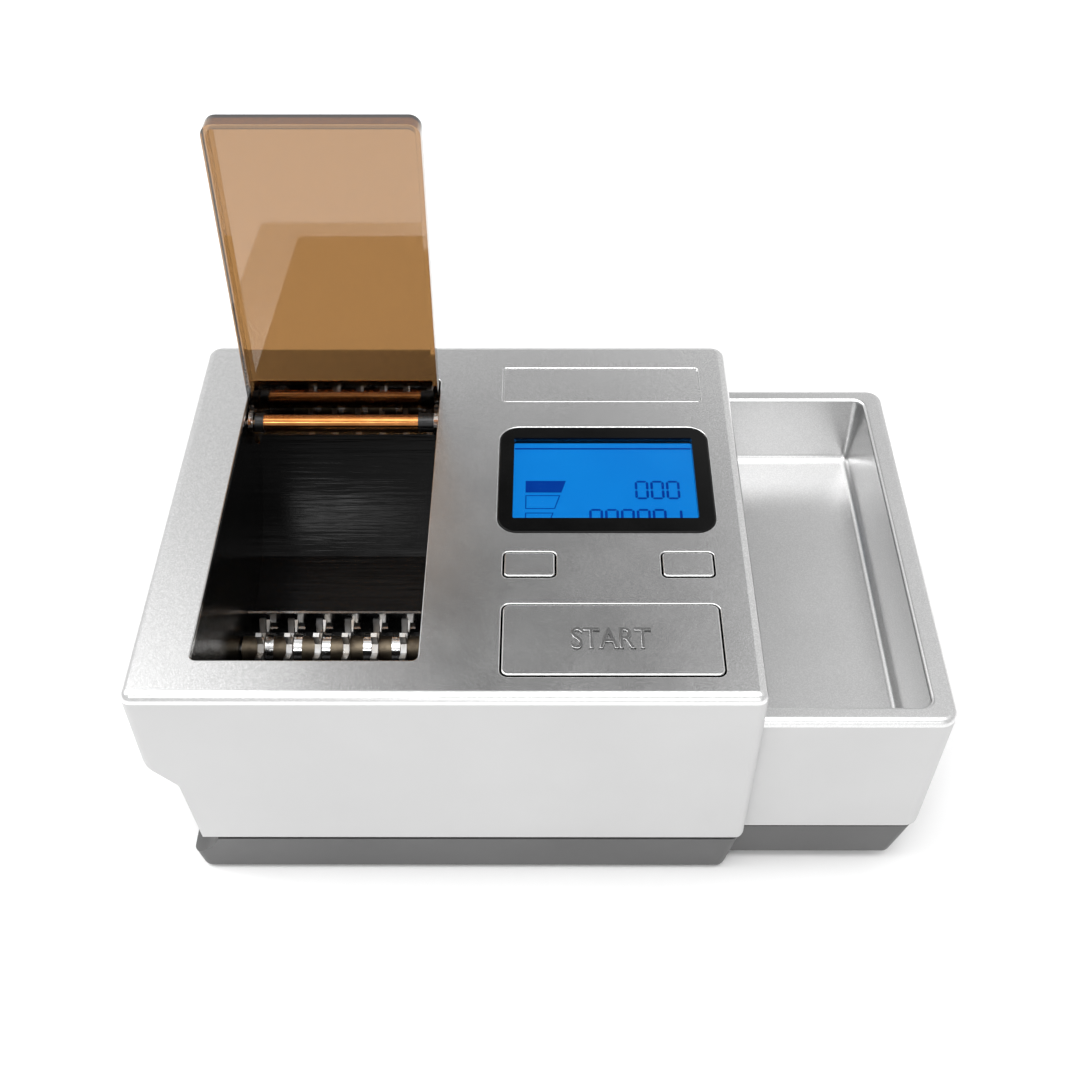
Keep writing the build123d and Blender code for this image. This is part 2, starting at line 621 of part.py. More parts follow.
def make_injector_spoon():
    """Half-round spoon, open above, with a solid pusher at its root."""
    _, x1 = carriage_x()
    spoon = rod_x(x1 - SPOON_L, x1, CHAMBER_Y, CHAMBER_Z, SPOON_R)
    spoon -= rod_x(x1 - SPOON_L - 1, x1 - CARRIAGE_W, CHAMBER_Y, CHAMBER_Z, SPOON_R - SPOON_T)
    top = (CHAMBER_Z + 0.5, CHAMBER_Z + SPOON_R + 1)
    return spoon - block((x1 - SPOON_L - 1, x1 - CARRIAGE_W), (0, BODY_D), top)


def make_injector_carriage():
    x = carriage_x()
    solid = block(x, (CHAMBER_Y - GUIDE_OUT - 5, CHAMBER_Y + 7), (SCREW_Z - 7, CHAMBER_BOTTOM - 0.6))
    half = SLOT_W / 2 - 0.4
    arm = block((x[0] + 1, x[1]), (CHAMBER_Y - half, CHAMBER_Y + half), (SCREW_Z + 5, CHAMBER_Z))
    solid += arm - rod_x(0, BODY_W, CHAMBER_Y, CHAMBER_Z, SPOON_R)
    solid -= rod_x(0, BODY_W, CHAMBER_Y, SCREW_Z, SCREW_R + RUN_FIT)
    return solid - rod_x(0, BODY_W, CHAMBER_Y - GUIDE_OUT, SCREW_Z, GUIDE_R + RUN_FIT)


def make_lead_screw():
    x0 = LEFT_PLATE_X + PLATE_T + 0.3
    screw = rod_x(LEFT_PLATE_X, RIGHT_PLATE_X + PLATE_T, CHAMBER_Y, SCREW_Z, SCREW_END_R)
    return screw + rod_x(x0, PULLEY_X, CHAMBER_Y, SCREW_Z, SCREW_R)


def pulley(y, z, bore):
    body = rod_x(PULLEY_X, PULLEY_X + PULLEY_T, y, z, PULLEY_R)
    return body - rod_x(PULLEY_X - 1, PULLEY_X + PULLEY_T + 1, y, z, bore)


def make_screw_pulley():
    return pulley(CHAMBER_Y, SCREW_Z, SCREW_END_R)


def make_drive_pulley():
    shaft = rod_x(PULLEY_X - 2.1, PULLEY_X + PULLEY_T, DRIVE_MOTOR_Y, DRIVE_MOTOR_Z, 2.0)
    return pulley(DRIVE_MOTOR_Y, DRIVE_MOTOR_Z, 2.0) + shaft


def make_drive_belt():
    """Flat belt round the screw pulley and the motor pulley."""
    across = Vector(DRIVE_MOTOR_Y - CHAMBER_Y, DRIVE_MOTOR_Z - SCREW_Z, 0)
    middle = Pos((DRIVE_MOTOR_Y + CHAMBER_Y) / 2, (DRIVE_MOTOR_Z + SCREW_Z) / 2)
    turn = Rot(0, 0, across.get_signed_angle(Vector(1, 0, 0), Vector(0, 0, -1)))
    inner = 2 * (PULLEY_R + RUN_FIT)
    loop = SlotCenterToCenter(across.length, inner + 2 * BELT_T) - SlotCenterToCenter(across.length, inner)
    return along_x(middle * turn * loop, PULLEY_X + 0.5, PULLEY_X + PULLEY_T - 0.5)


def make_guide_rod():
    return rod_x(LEFT_PLATE_X + PLATE_T, RIGHT_PLATE_X, CHAMBER_Y - GUIDE_OUT, SCREW_Z, GUIDE_R)


def make_press_bar():
    """Flat blade that slides back over the chamber to pack the tobacco."""
    y1 = CHAMBER_Y - CHAMBER_BORE - 4.4
    low = CHAMBER_TOP + 0.3
    return block((HOP_X0 + 3, HOP_X1 - 3), (y1 - PRESS_W, y1), (low, low + PRESS_T))


def make_left_frame_plate():
    x = (LEFT_PLATE_X, LEFT_PLATE_X + PLATE_T)
    floor = FOOT_H + BASE_FLOOR
    plate = block(x, (24, 104), (floor, PICK_Z + 10)) + block(x, (104, BODY_D - 52), (floor, floor + 16))
    for sx, sy in screw_places()[:2]:
        plate += block((x[0], sx + 5), (sy - 6, sy + 6), (floor, floor + 2))
        plate -= rod_z(sx, sy, 0, floor + 3, 1.6)
    plate -= rod_x(0, BODY_W, PICK_Y, PICK_Z, BUSH_R)
    plate -= rod_x(0, BODY_W, CHAMBER_Y, SCREW_Z, BUSH_R)
    return plate - rod_x(0, BODY_W, CHAMBER_Y, CHAMBER_Z, NOZZLE_ROOT_R)


def make_right_frame_plate():
    x = (RIGHT_PLATE_X, RIGHT_PLATE_X + PLATE_T)
    floor = FOOT_H + BASE_FLOOR
    plate = block(x, (14, BODY_D - 14), (floor, DRAWER_TOP + 3))
    for sx, sy in screw_places()[2:]:
        plate += block((sx - 4, x[1]), (sy - 6, sy + 6), (floor, floor + 2))
        plate -= rod_z(sx, sy, 0, floor + 3, 1.6)
    plate -= rod_x(0, BODY_W, PICK_Y, PICK_Z, BUSH_R)
    return plate - rod_x(0, BODY_W, CHAMBER_Y, SCREW_Z, BUSH_R)


def make_shaft_bushes():
    bushes = []
    for x0 in (LEFT_PLATE_X, RIGHT_PLATE_X):
        for y, z, radius in ((PICK_Y, PICK_Z, SHAFT_R), (CHAMBER_Y, SCREW_Z, SCREW_END_R)):
            ring = rod_x(x0, x0 + PLATE_T, y, z, BUSH_R)
            bushes.append(ring - rod_x(x0 - 1, x0 + PLATE_T + 1, y, z, radius + RUN_FIT))
    return bushes


# ---------------------------------------------------------------- tube clamp, in the recess of the left wall
CLAMP_X = 9.2
CLAMP_Z = 51.5
CLAMP_W = 7.6
CLAMP_PIN_R = 1.2
CLAMP_LUG_T = 1.8


def clamp_lugs():
    """Lugs on the shell either side of the clamp, with the bore for its pin."""
    reach = LEFT_PLATE_X - 3.6
    gap = CLAMP_W / 2 + 0.4
    lugs = [block((CLAMP_X - 2.5, reach), (CHAMBER_Y + a, CHAMBER_Y + b), (CLAMP_Z - 2.5, CLAMP_Z + 2.5))
            for a, b in ((-gap - CLAMP_LUG_T, -gap), (gap, gap + CLAMP_LUG_T))]
    return [lug - rod_y(CLAMP_X, 0, BODY_D, CLAMP_Z, CLAMP_PIN_R) for lug in lugs]


def make_clamp_pin():
    half = CLAMP_W / 2 + 0.4 + CLAMP_LUG_T
    return rod_y(CLAMP_X, CHAMBER_Y - half, CHAMBER_Y + half, CLAMP_Z, CLAMP_PIN_R)


def make_tube_clamp():
    y = (CHAMBER_Y - CLAMP_W / 2, CHAMBER_Y + CLAMP_W / 2)
    clamp = rod_y(CLAMP_X, *y, CLAMP_Z, 2.2)
    clamp += block((CLAMP_X - 7.0, CLAMP_X), y, (CLAMP_Z - 1.2, CLAMP_Z + 1.2))
    clamp += block((CLAMP_X - 7.0, CLAMP_X - 4.0), y, (CHAMBER_Z + NOZZLE_R + 1.2, CLAMP_Z))
    return clamp - rod_y(CLAMP_X, 0, BODY_D, CLAMP_Z, CLAMP_PIN_R + RUN_FIT)


# ---------------------------------------------------------------- drawer, drawn pulled out
def drawer_plan(inset):
    x = (DRAWER_X0 + inset, DRAWER_X1 - inset)
    return x, (DRAWER_SET + inset, BODY_D - DRAWER_SET - inset)


def make_drawer_tray():
    rim = upright(*drawer_plan(0), (RIM_UNDER, DRAWER_TOP), DRAWER_R)
    rim = fillet(top_edges(rim, DRAWER_TOP), DRAWER_RIM_R)
    x = (DRAWER_X0 + DRAWER_SIDE_RIM, DRAWER_X1 - DRAWER_END_RIM)
    y = (DRAWER_SET + DRAWER_SIDE_RIM, BODY_D - DRAWER_SET - DRAWER_SIDE_RIM)
    outer = [(low - DRAWER_WALL, high + DRAWER_WALL) for low, high in (x, y)]
    tray = rim + narrowing(*outer, (FLOOR_Z - DRAWER_WALL, RIM_UNDER + 1), CAVITY_R + DRAWER_WALL, CAVITY_TAPER)
    cavity = narrowing(x, y, (FLOOR_Z, DRAWER_TOP), CAVITY_R, CAVITY_TAPER)
    cavity = fillet(top_edges(cavity, FLOOR_Z), CAVITY_FLOOR_R)
    tray -= cavity
    mouth = [e for e in top_edges(tray, DRAWER_TOP)
             if x[0] - 1 < e.center().X < x[1] + 1 and y[0] - 1 < e.center().Y < y[1] + 1]
    tray = fillet(mouth, 1.6)
    for px, py in drawer_posts():
        tray += rod_z(px, py, DRAWER_BASE_LOW + DRAWER_WALL, FLOOR_Z - DRAWER_WALL, 4.0)
        tray -= rod_z(px, py, 0, DRAWER_BASE_LOW + DRAWER_WALL + 8.0, 1.5)
    return tray


def drawer_posts():
    return [(x, y) for x in (DRAWER_X0 + 22.0, DRAWER_X1 - 26.0) for y in (40.0, BODY_D - 40.0)]


def make_drawer_skirt():
    x, y = drawer_plan(0)
    z = (SEAM_Z + SEAM_GAP, RIM_UNDER)
    skirt = pan_block(x, y, z, DRAWER_DRAFT, DRAWER_R, DRAWER_END_R)
    inner = [(low + DRAWER_WALL, high - DRAWER_WALL) for low, high in (x, y)]
    return skirt - narrowing(*inner, (z[0] - 1, z[1]), DRAWER_R - DRAWER_WALL, DRAWER_DRAFT)


def make_drawer_base():
    x = (DRAWER_X0 + DRAWER_BASE_SET, DRAWER_X1 - DRAWER_BASE_SET)
    y = drawer_plan(DRAWER_BASE_SIDE)[1]
    z = (DRAWER_BASE_LOW, SEAM_Z - DRAWER_BASE_DROP)
    pan = pan_block(x, y, z, DRAWER_BASE_TAPER, BASE_CORNER_R, BASE_END_R)
    inner = [(low + DRAWER_WALL, high - DRAWER_WALL) for low, high in (x, y)]
    room_z = (z[0] + DRAWER_WALL, z[1] + 0.01)
    pan -= pan_block(*inner, room_z, DRAWER_BASE_TAPER, BASE_CORNER_R - DRAWER_WALL, BASE_END_R)
    for px, py in drawer_posts():
        pan -= rod_z(px, py, 0, SEAM_Z, 1.5)
    return pan


def make_drawer_screws():
    top = DRAWER_BASE_LOW + DRAWER_WALL
    return [rod_z(x, y, DRAWER_BASE_LOW + 0.6, top + 8.0, 1.5) for x, y in drawer_posts()]


def make_drawer_runners():
    """Rails on the base floor that the drawer slides on."""
    x = (RIGHT_PLATE_X + PLATE_T, BODY_W - 12.0)
    z = (FOOT_H + BASE_FLOOR, DRAWER_BASE_LOW - 0.3)
    return [block(x, (y - 4, y + 4), z) for y in (27.0, BODY_D - 27.0)]


# ---------------------------------------------------------------- keys and display
def key(outline, travel):
    """Key cap with a retaining flange under the cover and a stem over its switch."""
    x, y, radius = outline
    top = TOP_Z + KEY_PROUD
    cap = upright(x, y, (top - KEY_H, top), radius)
    cap = fillet(top_edges(cap, top), 0.5)
    flange = [(low - KEY_FLANGE, high + KEY_FLANGE) for low, high in (x, y)]
    under = PLATE_UNDER - 0.3
    cap += upright(*flange, (under - KEY_FLANGE_T, under), radius + KEY_FLANGE)
    middle = (sum(x) / 2, sum(y) / 2)
    return cap + rod_z(*middle, switch_top() + travel + 0.2, under - KEY_FLANGE_T + 0.5, 2.0)


def switch_top():
    return BOARD_Z + BOARD_T + 4.4


def key_shapes():
    start, left, right = key_outlines(0)
    return key(start, START_TRAVEL), key(left, SMALL_TRAVEL), key(right, SMALL_TRAVEL)


def make_key_switches():
    switches = []
    for x, y, _ in key_outlines(0):
        cx, cy = sum(x) / 2, sum(y) / 2
        body = block((cx - 3, cx + 3), (cy - 3, cy + 3), (BOARD_Z + BOARD_T, switch_top() - 1.0))
        switches.append(body + rod_z(cx, cy, switch_top() - 1.0, switch_top(), 1.7))
    return switches


def make_control_board():
    x = (BEZEL_X0 - 8.0, BEZEL_X0 + BEZEL_W + 8.0)
    y = (START_Y0, BEZEL_Y0 + BEZEL_D + 6.0)
    board = block(x, y, (BOARD_Z, BOARD_Z + BOARD_T))
    chip = block((178, 192), (60, 74), (BOARD_Z + BOARD_T, BOARD_Z + BOARD_T + 1.4))
    return board + chip + block((150, 176), (70, 76), (BOARD_Z + BOARD_T, BOARD_Z + BOARD_T + 5.0))


def make_display_frame():
    x = (BEZEL_X0 + 0.15, BEZEL_X0 + BEZEL_W - 0.15)
    y = (BEZEL_Y0 + 0.15, BEZEL_Y0 + BEZEL_D - 0.15)
    z = (TOP_Z + BEZEL_PROUD - BEZEL_T, TOP_Z + BEZEL_PROUD)
    frame = upright(x, y, z, BEZEL_R - 0.15)
    frame = fillet(top_edges(frame, z[1]), 0.5)
    window = ((WINDOW_X0, WINDOW_X0 + WINDOW_W), (WINDOW_Y0, WINDOW_Y0 + WINDOW_D))
    collar = [(low - 1.6, high + 1.6) for low, high in window]
    frame += upright(*collar, (TOP_Z - LCD_DROP, z[0] + 0.2), 1.0)
    return frame - upright(*window, (0, TOP_Z + 5), 0.8)


def make_display_glass():
    x = (WINDOW_X0 + 0.02, WINDOW_X0 + WINDOW_W - 0.02)
    y = (WINDOW_Y0 + 0.02, WINDOW_Y0 + WINDOW_D - 0.02)
    return upright(x, y, (TOP_Z - 0.9 - GLASS_T, TOP_Z - 0.9), 0.78)


def make_lcd_panel():
    x = (WINDOW_X0 - 4, WINDOW_X0 + WINDOW_W + 4)
    y = (WINDOW_Y0 - 4, WINDOW_Y0 + WINDOW_D + 4)
    return block(x, y, (TOP_Z - LCD_DROP - LCD_T, TOP_Z - LCD_DROP))


def make_name_plate():
    """Blank plate in its shallow recess."""
    x = (NAME_X0 + NAME_GAP, NAME_X0 + NAME_W - NAME_GAP)
    y = (NAME_Y0 + NAME_GAP, NAME_Y0 + NAME_D - NAME_GAP)
    return fillet(top_edges(upright(x, y, (TOP_Z - NAME_DEEP, TOP_Z - 0.3), 1.1), TOP_Z - 0.3), 0.25)


# ---------------------------------------------------------------- back panel and power
def inlet_box(shrink):
    """Opening for the mains inlet in the back wall, made smaller all round by shrink."""
    x = (INLET_X - INLET_W / 2 + shrink, INLET_X + INLET_W / 2 - shrink)
    z = (INLET_Z - INLET_H / 2 + shrink, INLET_Z + INLET_H / 2 - shrink)
    return block(x, (BODY_D - INLET_DEEP, BODY_D + 1), z)


def rocker_box(shrink):
    x = (ROCKER_X - ROCKER_W / 2 + shrink, ROCKER_X + ROCKER_W / 2 - shrink)
    z = (INLET_Z - ROCKER_H / 2 + shrink, INLET_Z + ROCKER_H / 2 - shrink)
    return block(x, (BODY_D - INLET_DEEP, BODY_D + 1), z)


def make_power_inlet():
    """Two-pin mains inlet with a figure-eight socket."""
    inlet = inlet_box(0) & block((0, BODY_W), (0, BODY_D), (0, TOP_Z))
    socket = Plane.XZ.offset(-BODY_D) * Pos(INLET_X, INLET_Z) * SlotCenterToCenter(8.6, 8.0)
    inlet -= extrude(socket, amount=12.0)
    for side in (-1, 1):
        inlet += rod_y(INLET_X + side * 4.3, BODY_D - 13.0, BODY_D - 3.0, INLET_Z, 1.2)
    return inlet


def make_switch_housing():
    housing = rocker_box(0) & block((0, BODY_W), (0, BODY_D), (0, TOP_Z))
    return housing - rocker_box(1.4) + block(*switch_back())


def switch_back():
    x = (ROCKER_X - ROCKER_W / 2, ROCKER_X + ROCKER_W / 2)
    z = (INLET_Z - ROCKER_H / 2, INLET_Z + ROCKER_H / 2)
    return x, (BODY_D - INLET_DEEP, BODY_D - INLET_DEEP + 2.0), z


def rocker_axis():
    return BODY_D - 5.0, INLET_Z


def make_power_rocker():
    """Rocker cap with two flats that meet over its axis, standing on one side."""
    y, z = rocker_axis()
    half = ROCKER_H / 2 - 2.4
    points = [(0, -3.0), (1.6, -half), (4.4, -half), (2.6, 0), (4.4, half), (1.6, half), (0, 3.0)]
    face = make_face(Polyline(*[(y + a, z + b) for a, b in points], close=True))
    x = (ROCKER_X - ROCKER_W / 2 + 1.8, ROCKER_X + ROCKER_W / 2 - 1.8)
    cap = along_x(face, *x) + rod_x(*x, y, z, 2.4)
    cap -= rod_x(0, BODY_W, y, z, 1.0 + RUN_FIT)
    return Pos(0, y, z) * Rot(ROCKER_SWING, 0, 0) * Pos(0, -y, -z) * cap


def make_rocker_pin():
    return rod_x(ROCKER_X - ROCKER_W / 2 + 1.4, ROCKER_X + ROCKER_W / 2 - 1.4, *rocker_axis(), 1.0)


def make_transformer():
    floor = FOOT_H + BASE_FLOOR
    core = block((34, 72), (154, 184), (floor, floor + 32))
    coil = block((30, 76), (160, 178), (floor + 6, floor + 26))
    return core + coil


def make_power_board():
    floor = FOOT_H + BASE_FLOOR
    board = block((78, 106), (140, 190), (floor + 4, floor + 5.6))
    for x, y in ((82, 144), (102, 144), (82, 186), (102, 186)):
        board += rod_z(x, y, floor, floor + 4, 2.5)
    for x, y, radius, height in ((86, 176, 5.0, 16.0), (98, 176, 5.0, 16.0), (86, 158, 4.0, 10.0)):
        board += rod_z(x, y, floor + 5.6, floor + 5.6 + height, radius)
    return board + block((93, 103), (150, 164), (floor + 5.6, floor + 18.0))


# ---------------------------------------------------------------- whole machine
def make_parts():
    start_key, left_key, right_key = key_shapes()
    lugs = clamp_lugs()
    return {
        "top_cover": make_top_cover(),
        "side_shell": make_side_shell() + lugs[0] + lugs[1],
        "base_pan": make_base_pan(),
        "feet": make_feet(),
        "base_screws": make_base_screws(),
        "hopper_liner": make_hopper_liner(),
        "comb_plate": make_comb_plate(),
        "lid": make_lid(),
        "hinge_rod": make_hinge_rod(),
        "hinge_sleeve": make_hinge_sleeve(),
        "hinge_collars": make_hinge_collars(),
        "picker_shaft": make_picker_shaft(),
        "picker_wheels": make_picker_wheels(),
        "picker_drum": make_picker_drum(),
        "spacer_rings": make_spacer_rings(),
        "picker_gear": make_picker_gear(),
        "picker_pinion": make_picker_pinion(),
        "picker_motor": make_picker_motor(),
        "drive_motor": make_drive_motor(),
        "motor_saddle": make_motor_saddle(),
        "chamber_block": make_chamber_block(),
        "tube_nozzle": make_tube_nozzle(),
        "injector_spoon": make_injector_spoon(),
        "injector_carriage": make_injector_carriage(),
        "lead_screw": make_lead_screw(),
        "screw_pulley": make_screw_pulley(),
        "drive_pulley": make_drive_pulley(),
        "drive_belt": make_drive_belt(),
        "guide_rod": make_guide_rod(),
        "press_bar": make_press_bar(),
        "left_frame_plate": make_left_frame_plate(),
        "right_frame_plate": make_right_frame_plate(),
        "shaft_bushes": make_shaft_bushes(),
        "clamp_pin": make_clamp_pin(),
        "tube_clamp": make_tube_clamp(),
        "drawer_tray": make_drawer_tray(),
        "drawer_skirt": make_drawer_skirt(),
        "drawer_base": make_drawer_base(),
        "drawer_screws": make_drawer_screws(),
        "drawer_runners": make_drawer_runners(),
        "start_key": start_key,
        "left_key": left_key,
        "right_key": right_key,
        "key_switches": make_key_switches(),
        "control_board": make_control_board(),
        "display_frame": make_display_frame(),
        "display_glass": make_display_glass(),
        "lcd_panel": make_lcd_panel(),
        "name_plate": make_name_plate(),
        "power_inlet": make_power_inlet(),
        "switch_housing": make_switch_housing(),
        "power_rocker": make_power_rocker(),
        "rocker_pin": make_rocker_pin(),
        "transformer": make_transformer(),
        "power_board": make_power_board(),
    }


def as_one(shape):
    """A list of separate solids as one compound."""
    return Compound(children=list(shape)) if isinstance(shape, list) else shape


parts = {name: as_one(shape) for name, shape in make_parts().items()}
bounds = Compound(children=[Compound(s.solids()) for s in parts.values()]).bounding_box()
to_origin = Pos(-bounds.center().X, -bounds.center().Y, -bounds.min.Z)
print("moved by", tuple(round(v, 4) for v in to_origin.position), "size", bounds.size)
os.makedirs("parts", exist_ok=True)
for name, shape in parts.items():
    export_step(to_origin * Compound(shape.solids()), f"parts/{name}.step")
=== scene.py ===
# %% [markdown]
# # An electric tube filling machine
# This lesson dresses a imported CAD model: a silver tabletop machine with an amber lid, a row of
# steel pickers in a black hopper, a blue display, press keys and a pull-out tray. The CAD model is
# the frame. It fixes every size and every joint, so the lesson only adds finishes, the word on the
# long key and the marks on the display, and each new piece rides on the CAD body that carries it.

# %% Load the frame
import json
import math

import bpy
from mathutils import Matrix, Vector

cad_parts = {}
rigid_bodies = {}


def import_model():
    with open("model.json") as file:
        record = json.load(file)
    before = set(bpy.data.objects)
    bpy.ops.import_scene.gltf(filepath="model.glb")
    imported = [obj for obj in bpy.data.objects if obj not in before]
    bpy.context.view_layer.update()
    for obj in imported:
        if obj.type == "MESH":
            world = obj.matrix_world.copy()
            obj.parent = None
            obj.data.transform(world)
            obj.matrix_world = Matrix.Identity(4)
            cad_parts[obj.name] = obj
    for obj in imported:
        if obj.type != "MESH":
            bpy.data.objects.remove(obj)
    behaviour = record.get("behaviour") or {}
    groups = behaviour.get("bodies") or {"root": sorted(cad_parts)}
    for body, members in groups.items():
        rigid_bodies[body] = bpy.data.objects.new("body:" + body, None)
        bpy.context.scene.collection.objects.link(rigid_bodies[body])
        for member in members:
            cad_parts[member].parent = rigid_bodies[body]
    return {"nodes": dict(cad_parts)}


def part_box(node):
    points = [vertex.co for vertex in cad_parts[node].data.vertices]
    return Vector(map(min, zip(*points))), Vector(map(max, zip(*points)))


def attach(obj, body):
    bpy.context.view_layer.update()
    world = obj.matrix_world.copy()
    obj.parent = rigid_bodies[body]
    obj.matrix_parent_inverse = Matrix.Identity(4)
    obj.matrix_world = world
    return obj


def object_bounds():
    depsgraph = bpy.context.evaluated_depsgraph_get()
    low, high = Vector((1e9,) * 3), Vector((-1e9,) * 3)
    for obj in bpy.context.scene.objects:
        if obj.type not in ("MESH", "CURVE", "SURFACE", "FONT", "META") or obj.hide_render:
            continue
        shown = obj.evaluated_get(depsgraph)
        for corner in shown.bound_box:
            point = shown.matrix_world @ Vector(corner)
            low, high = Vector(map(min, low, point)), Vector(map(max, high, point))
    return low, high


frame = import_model()
nodes = frame["nodes"]
cad_low, cad_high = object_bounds()
MM = 0.001

# %% [markdown]
# ## Measures that everything else hangs on
# The corners of the main body give a local ruler: x from its left side, y from its front face and
# z from the table, all in millimetres. Writing places on that ruler keeps them readable, and it
# moves with the model if the CAD is packed again with another origin.

# %% The ruler
cover_low, cover_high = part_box("top_cover")
LEFT = cover_low.x
FRONT = cover_low.y
TABLE = cad_low.z


def at(x, y, z):
    """A point from millimetres on the ruler to metres in the frame."""
    return Vector((LEFT + x * MM, FRONT + y * MM, TABLE + z * MM))


print("main body:", cover_high - cover_low)

# %% [markdown]
# ## Camera
# A product shot from above: the camera stands a little right of the hopper, half a metre in front
# and above, and looks down at forty-six degrees. Its lens is a mild telephoto of 46.5 mm on a
# 36 mm sensor. The tiny shift puts the lens axis where the framing needs it.

# %% The camera
LENS = 46.55
LOOK_DOWN = 46.28
TURN = 0.21
ROLL = -0.13
SHIFT = (-0.0065, -0.0159)
STAND = at(159.2, -306.4, 536.0)
camera_data = bpy.data.cameras.new("shot_camera")
camera_data.lens = LENS
camera_data.sensor_width = 36.0
camera_data.shift_x, camera_data.shift_y = SHIFT
camera_data.clip_start = 0.01
camera = bpy.data.objects.new("shot_camera", camera_data)
bpy.context.scene.collection.objects.link(camera)
aim = Matrix.Rotation(math.radians(TURN), 4, "Z")
aim = aim @ Matrix.Rotation(math.radians(90 - LOOK_DOWN), 4, "X")
aim = aim @ Matrix.Rotation(math.radians(ROLL), 4, "Z")
camera.matrix_world = Matrix.Translation(STAND) @ aim
bpy.context.scene.camera = camera
print("camera at", STAND)

# %% [markdown]
# ## Floor and light
# A product shot has a white sweep and very soft light. Metallic paint only looks like metal when
# it has something to mirror. Two large softboxes light the machine from above and from the left,
# and a third fills its front. Two small ones are placed by what mirrors them: one by the cover's
# front left corner, the other by the steep black wall of the hopper. The rest of what the cover
# mirrors is the world, a pale grey dome. One round area of the dome is left dark, as the unlit
# part of a studio ceiling is, and the keys mirror that part.

# %% The floor
bpy.ops.object.select_all(action="DESELECT")
bpy.ops.mesh.primitive_plane_add(size=6.0, location=(0, 0, TABLE))
floor = bpy.context.object
floor.name = "floor"
floor_paint = bpy.data.materials.new("white_sweep")
floor_paint.use_nodes = True
floor_shader = floor_paint.node_tree.nodes["Principled BSDF"]
floor_shader.inputs["Base Color"].default_value = (0.9, 0.9, 0.9, 1)
floor_shader.inputs["Roughness"].default_value = 0.9
floor.data.materials.append(floor_paint)

# %% The dome
UNLIT_TOWARDS = Vector((-0.02, 0.63, 0.775)).normalized()
UNLIT_EDGE = 0.973
UNLIT_CORE = 0.994
DOME_STRENGTH = 0.8
scene = bpy.context.scene
scene.view_settings.view_transform = "Standard"
world = bpy.data.worlds.new("studio_world")
world.use_nodes = True
dome = world.node_tree
direction = dome.nodes.new("ShaderNodeTexCoord")
unlit = dome.nodes.new("ShaderNodeVectorMath")
unlit.operation = "DOT_PRODUCT"
unlit.inputs[1].default_value = UNLIT_TOWARDS
dome.links.new(direction.outputs["Generated"], unlit.inputs[0])
fall = dome.nodes.new("ShaderNodeMapRange")
fall.interpolation_type = "SMOOTHSTEP"
fall.inputs["From Min"].default_value = UNLIT_EDGE
fall.inputs["From Max"].default_value = UNLIT_CORE
fall.inputs["To Min"].default_value = DOME_STRENGTH
fall.inputs["To Max"].default_value = 0.0
dome.links.new(unlit.outputs["Value"], fall.inputs["Value"])
dome.links.new(fall.outputs["Result"], dome.nodes["Background"].inputs["Strength"])
dome.nodes["Background"].inputs["Color"].default_value = (1, 1, 1, 1)
scene.world = world


# %% The softboxes
def softbox(name, place, target, size, power):
    """A square area light that looks at a point."""
    data = bpy.data.lights.new(name, "AREA")
    data.shape = "SQUARE"
    data.size = size
    data.energy = power
    lamp = bpy.data.objects.new(name, data)
    scene.collection.objects.link(lamp)
    facing = (Vector(target) - Vector(place)).to_track_quat("-Z", "Y")
    lamp.matrix_world = Matrix.Translation(place) @ facing.to_matrix().to_4x4()


softbox("key_softbox", (-0.9, 0.15, 1.3), (-0.05, 0.0, 0.1), 0.9, 11.5)
softbox("top_softbox", (0.15, -0.25, 1.6), (0.0, 0.0, 0.1), 1.0, 13.0)
softbox("front_softbox", (0.25, -1.6, 0.75), (0.0, 0.0, 0.08), 0.9, 3.0)
softbox("corner_softbox", (-0.545, 0.745, 1.305), (-0.14, -0.08, 0.12), 0.35, 0.2)
softbox("hopper_softbox", (-0.34, -0.82, 1.0), (-0.112, 0.052, 0.062), 0.2, 1.1)

# %% [markdown]
# ## Effects that several finishes share
# Real surfaces are never one flat value. Paint has flake, moulded plastic has a fine spark-eroded
# grain, hands leave faint marks that change the gloss, and dust settles on what faces up. The sides
# of a key, down in the narrow gap round it, get painted shade: below a height they turn near black
# where the gap lies in shadow. Each of these is a small shader node group with named sockets. A
# group only hands out colours, masks and heights, so the shader itself stays in the material, where
# its plain values are easy to read.

# %% A helper that starts a node group
def start_group(name, inputs, outputs):
    """A new shader group with float, vector and colour sockets, and its two end nodes."""
    kinds = {"value": "NodeSocketFloat", "vector": "NodeSocketVector", "colour": "NodeSocketColor"}
    tree = bpy.data.node_groups.new(name, "ShaderNodeTree")
    for label, kind in inputs:
        tree.interface.new_socket(name=label, in_out="INPUT", socket_type=kinds[kind])
    for label, kind in outputs:
        tree.interface.new_socket(name=label, in_out="OUTPUT", socket_type=kinds[kind])
    return tree, tree.nodes.new("NodeGroupInput"), tree.nodes.new("NodeGroupOutput")


def noise_in(tree, vector, scale, detail, rough=0.5):
    """A noise texture node fed from a vector socket and a scale socket or number."""
    noise = tree.nodes.new("ShaderNodeTexNoise")
    tree.links.new(vector, noise.inputs["Vector"])
    if isinstance(scale, (int, float)):
        noise.inputs["Scale"].default_value = scale
    else:
        tree.links.new(scale, noise.inputs["Scale"])
    noise.inputs["Detail"].default_value = detail
    noise.inputs["Roughness"].default_value = rough
    return noise


def span(tree, value, low, high, to_low=None, to_high=None):
    """Map a value from low..high to 0..1, or to the two sockets given."""
    node = tree.nodes.new("ShaderNodeMapRange")
    tree.links.new(value, node.inputs["Value"])
    node.inputs["From Min"].default_value = low
    node.inputs["From Max"].default_value = high
    if to_low is not None:
        tree.links.new(to_low, node.inputs["To Min"])
        tree.links.new(to_high, node.inputs["To Max"])
    return node.outputs["Result"]


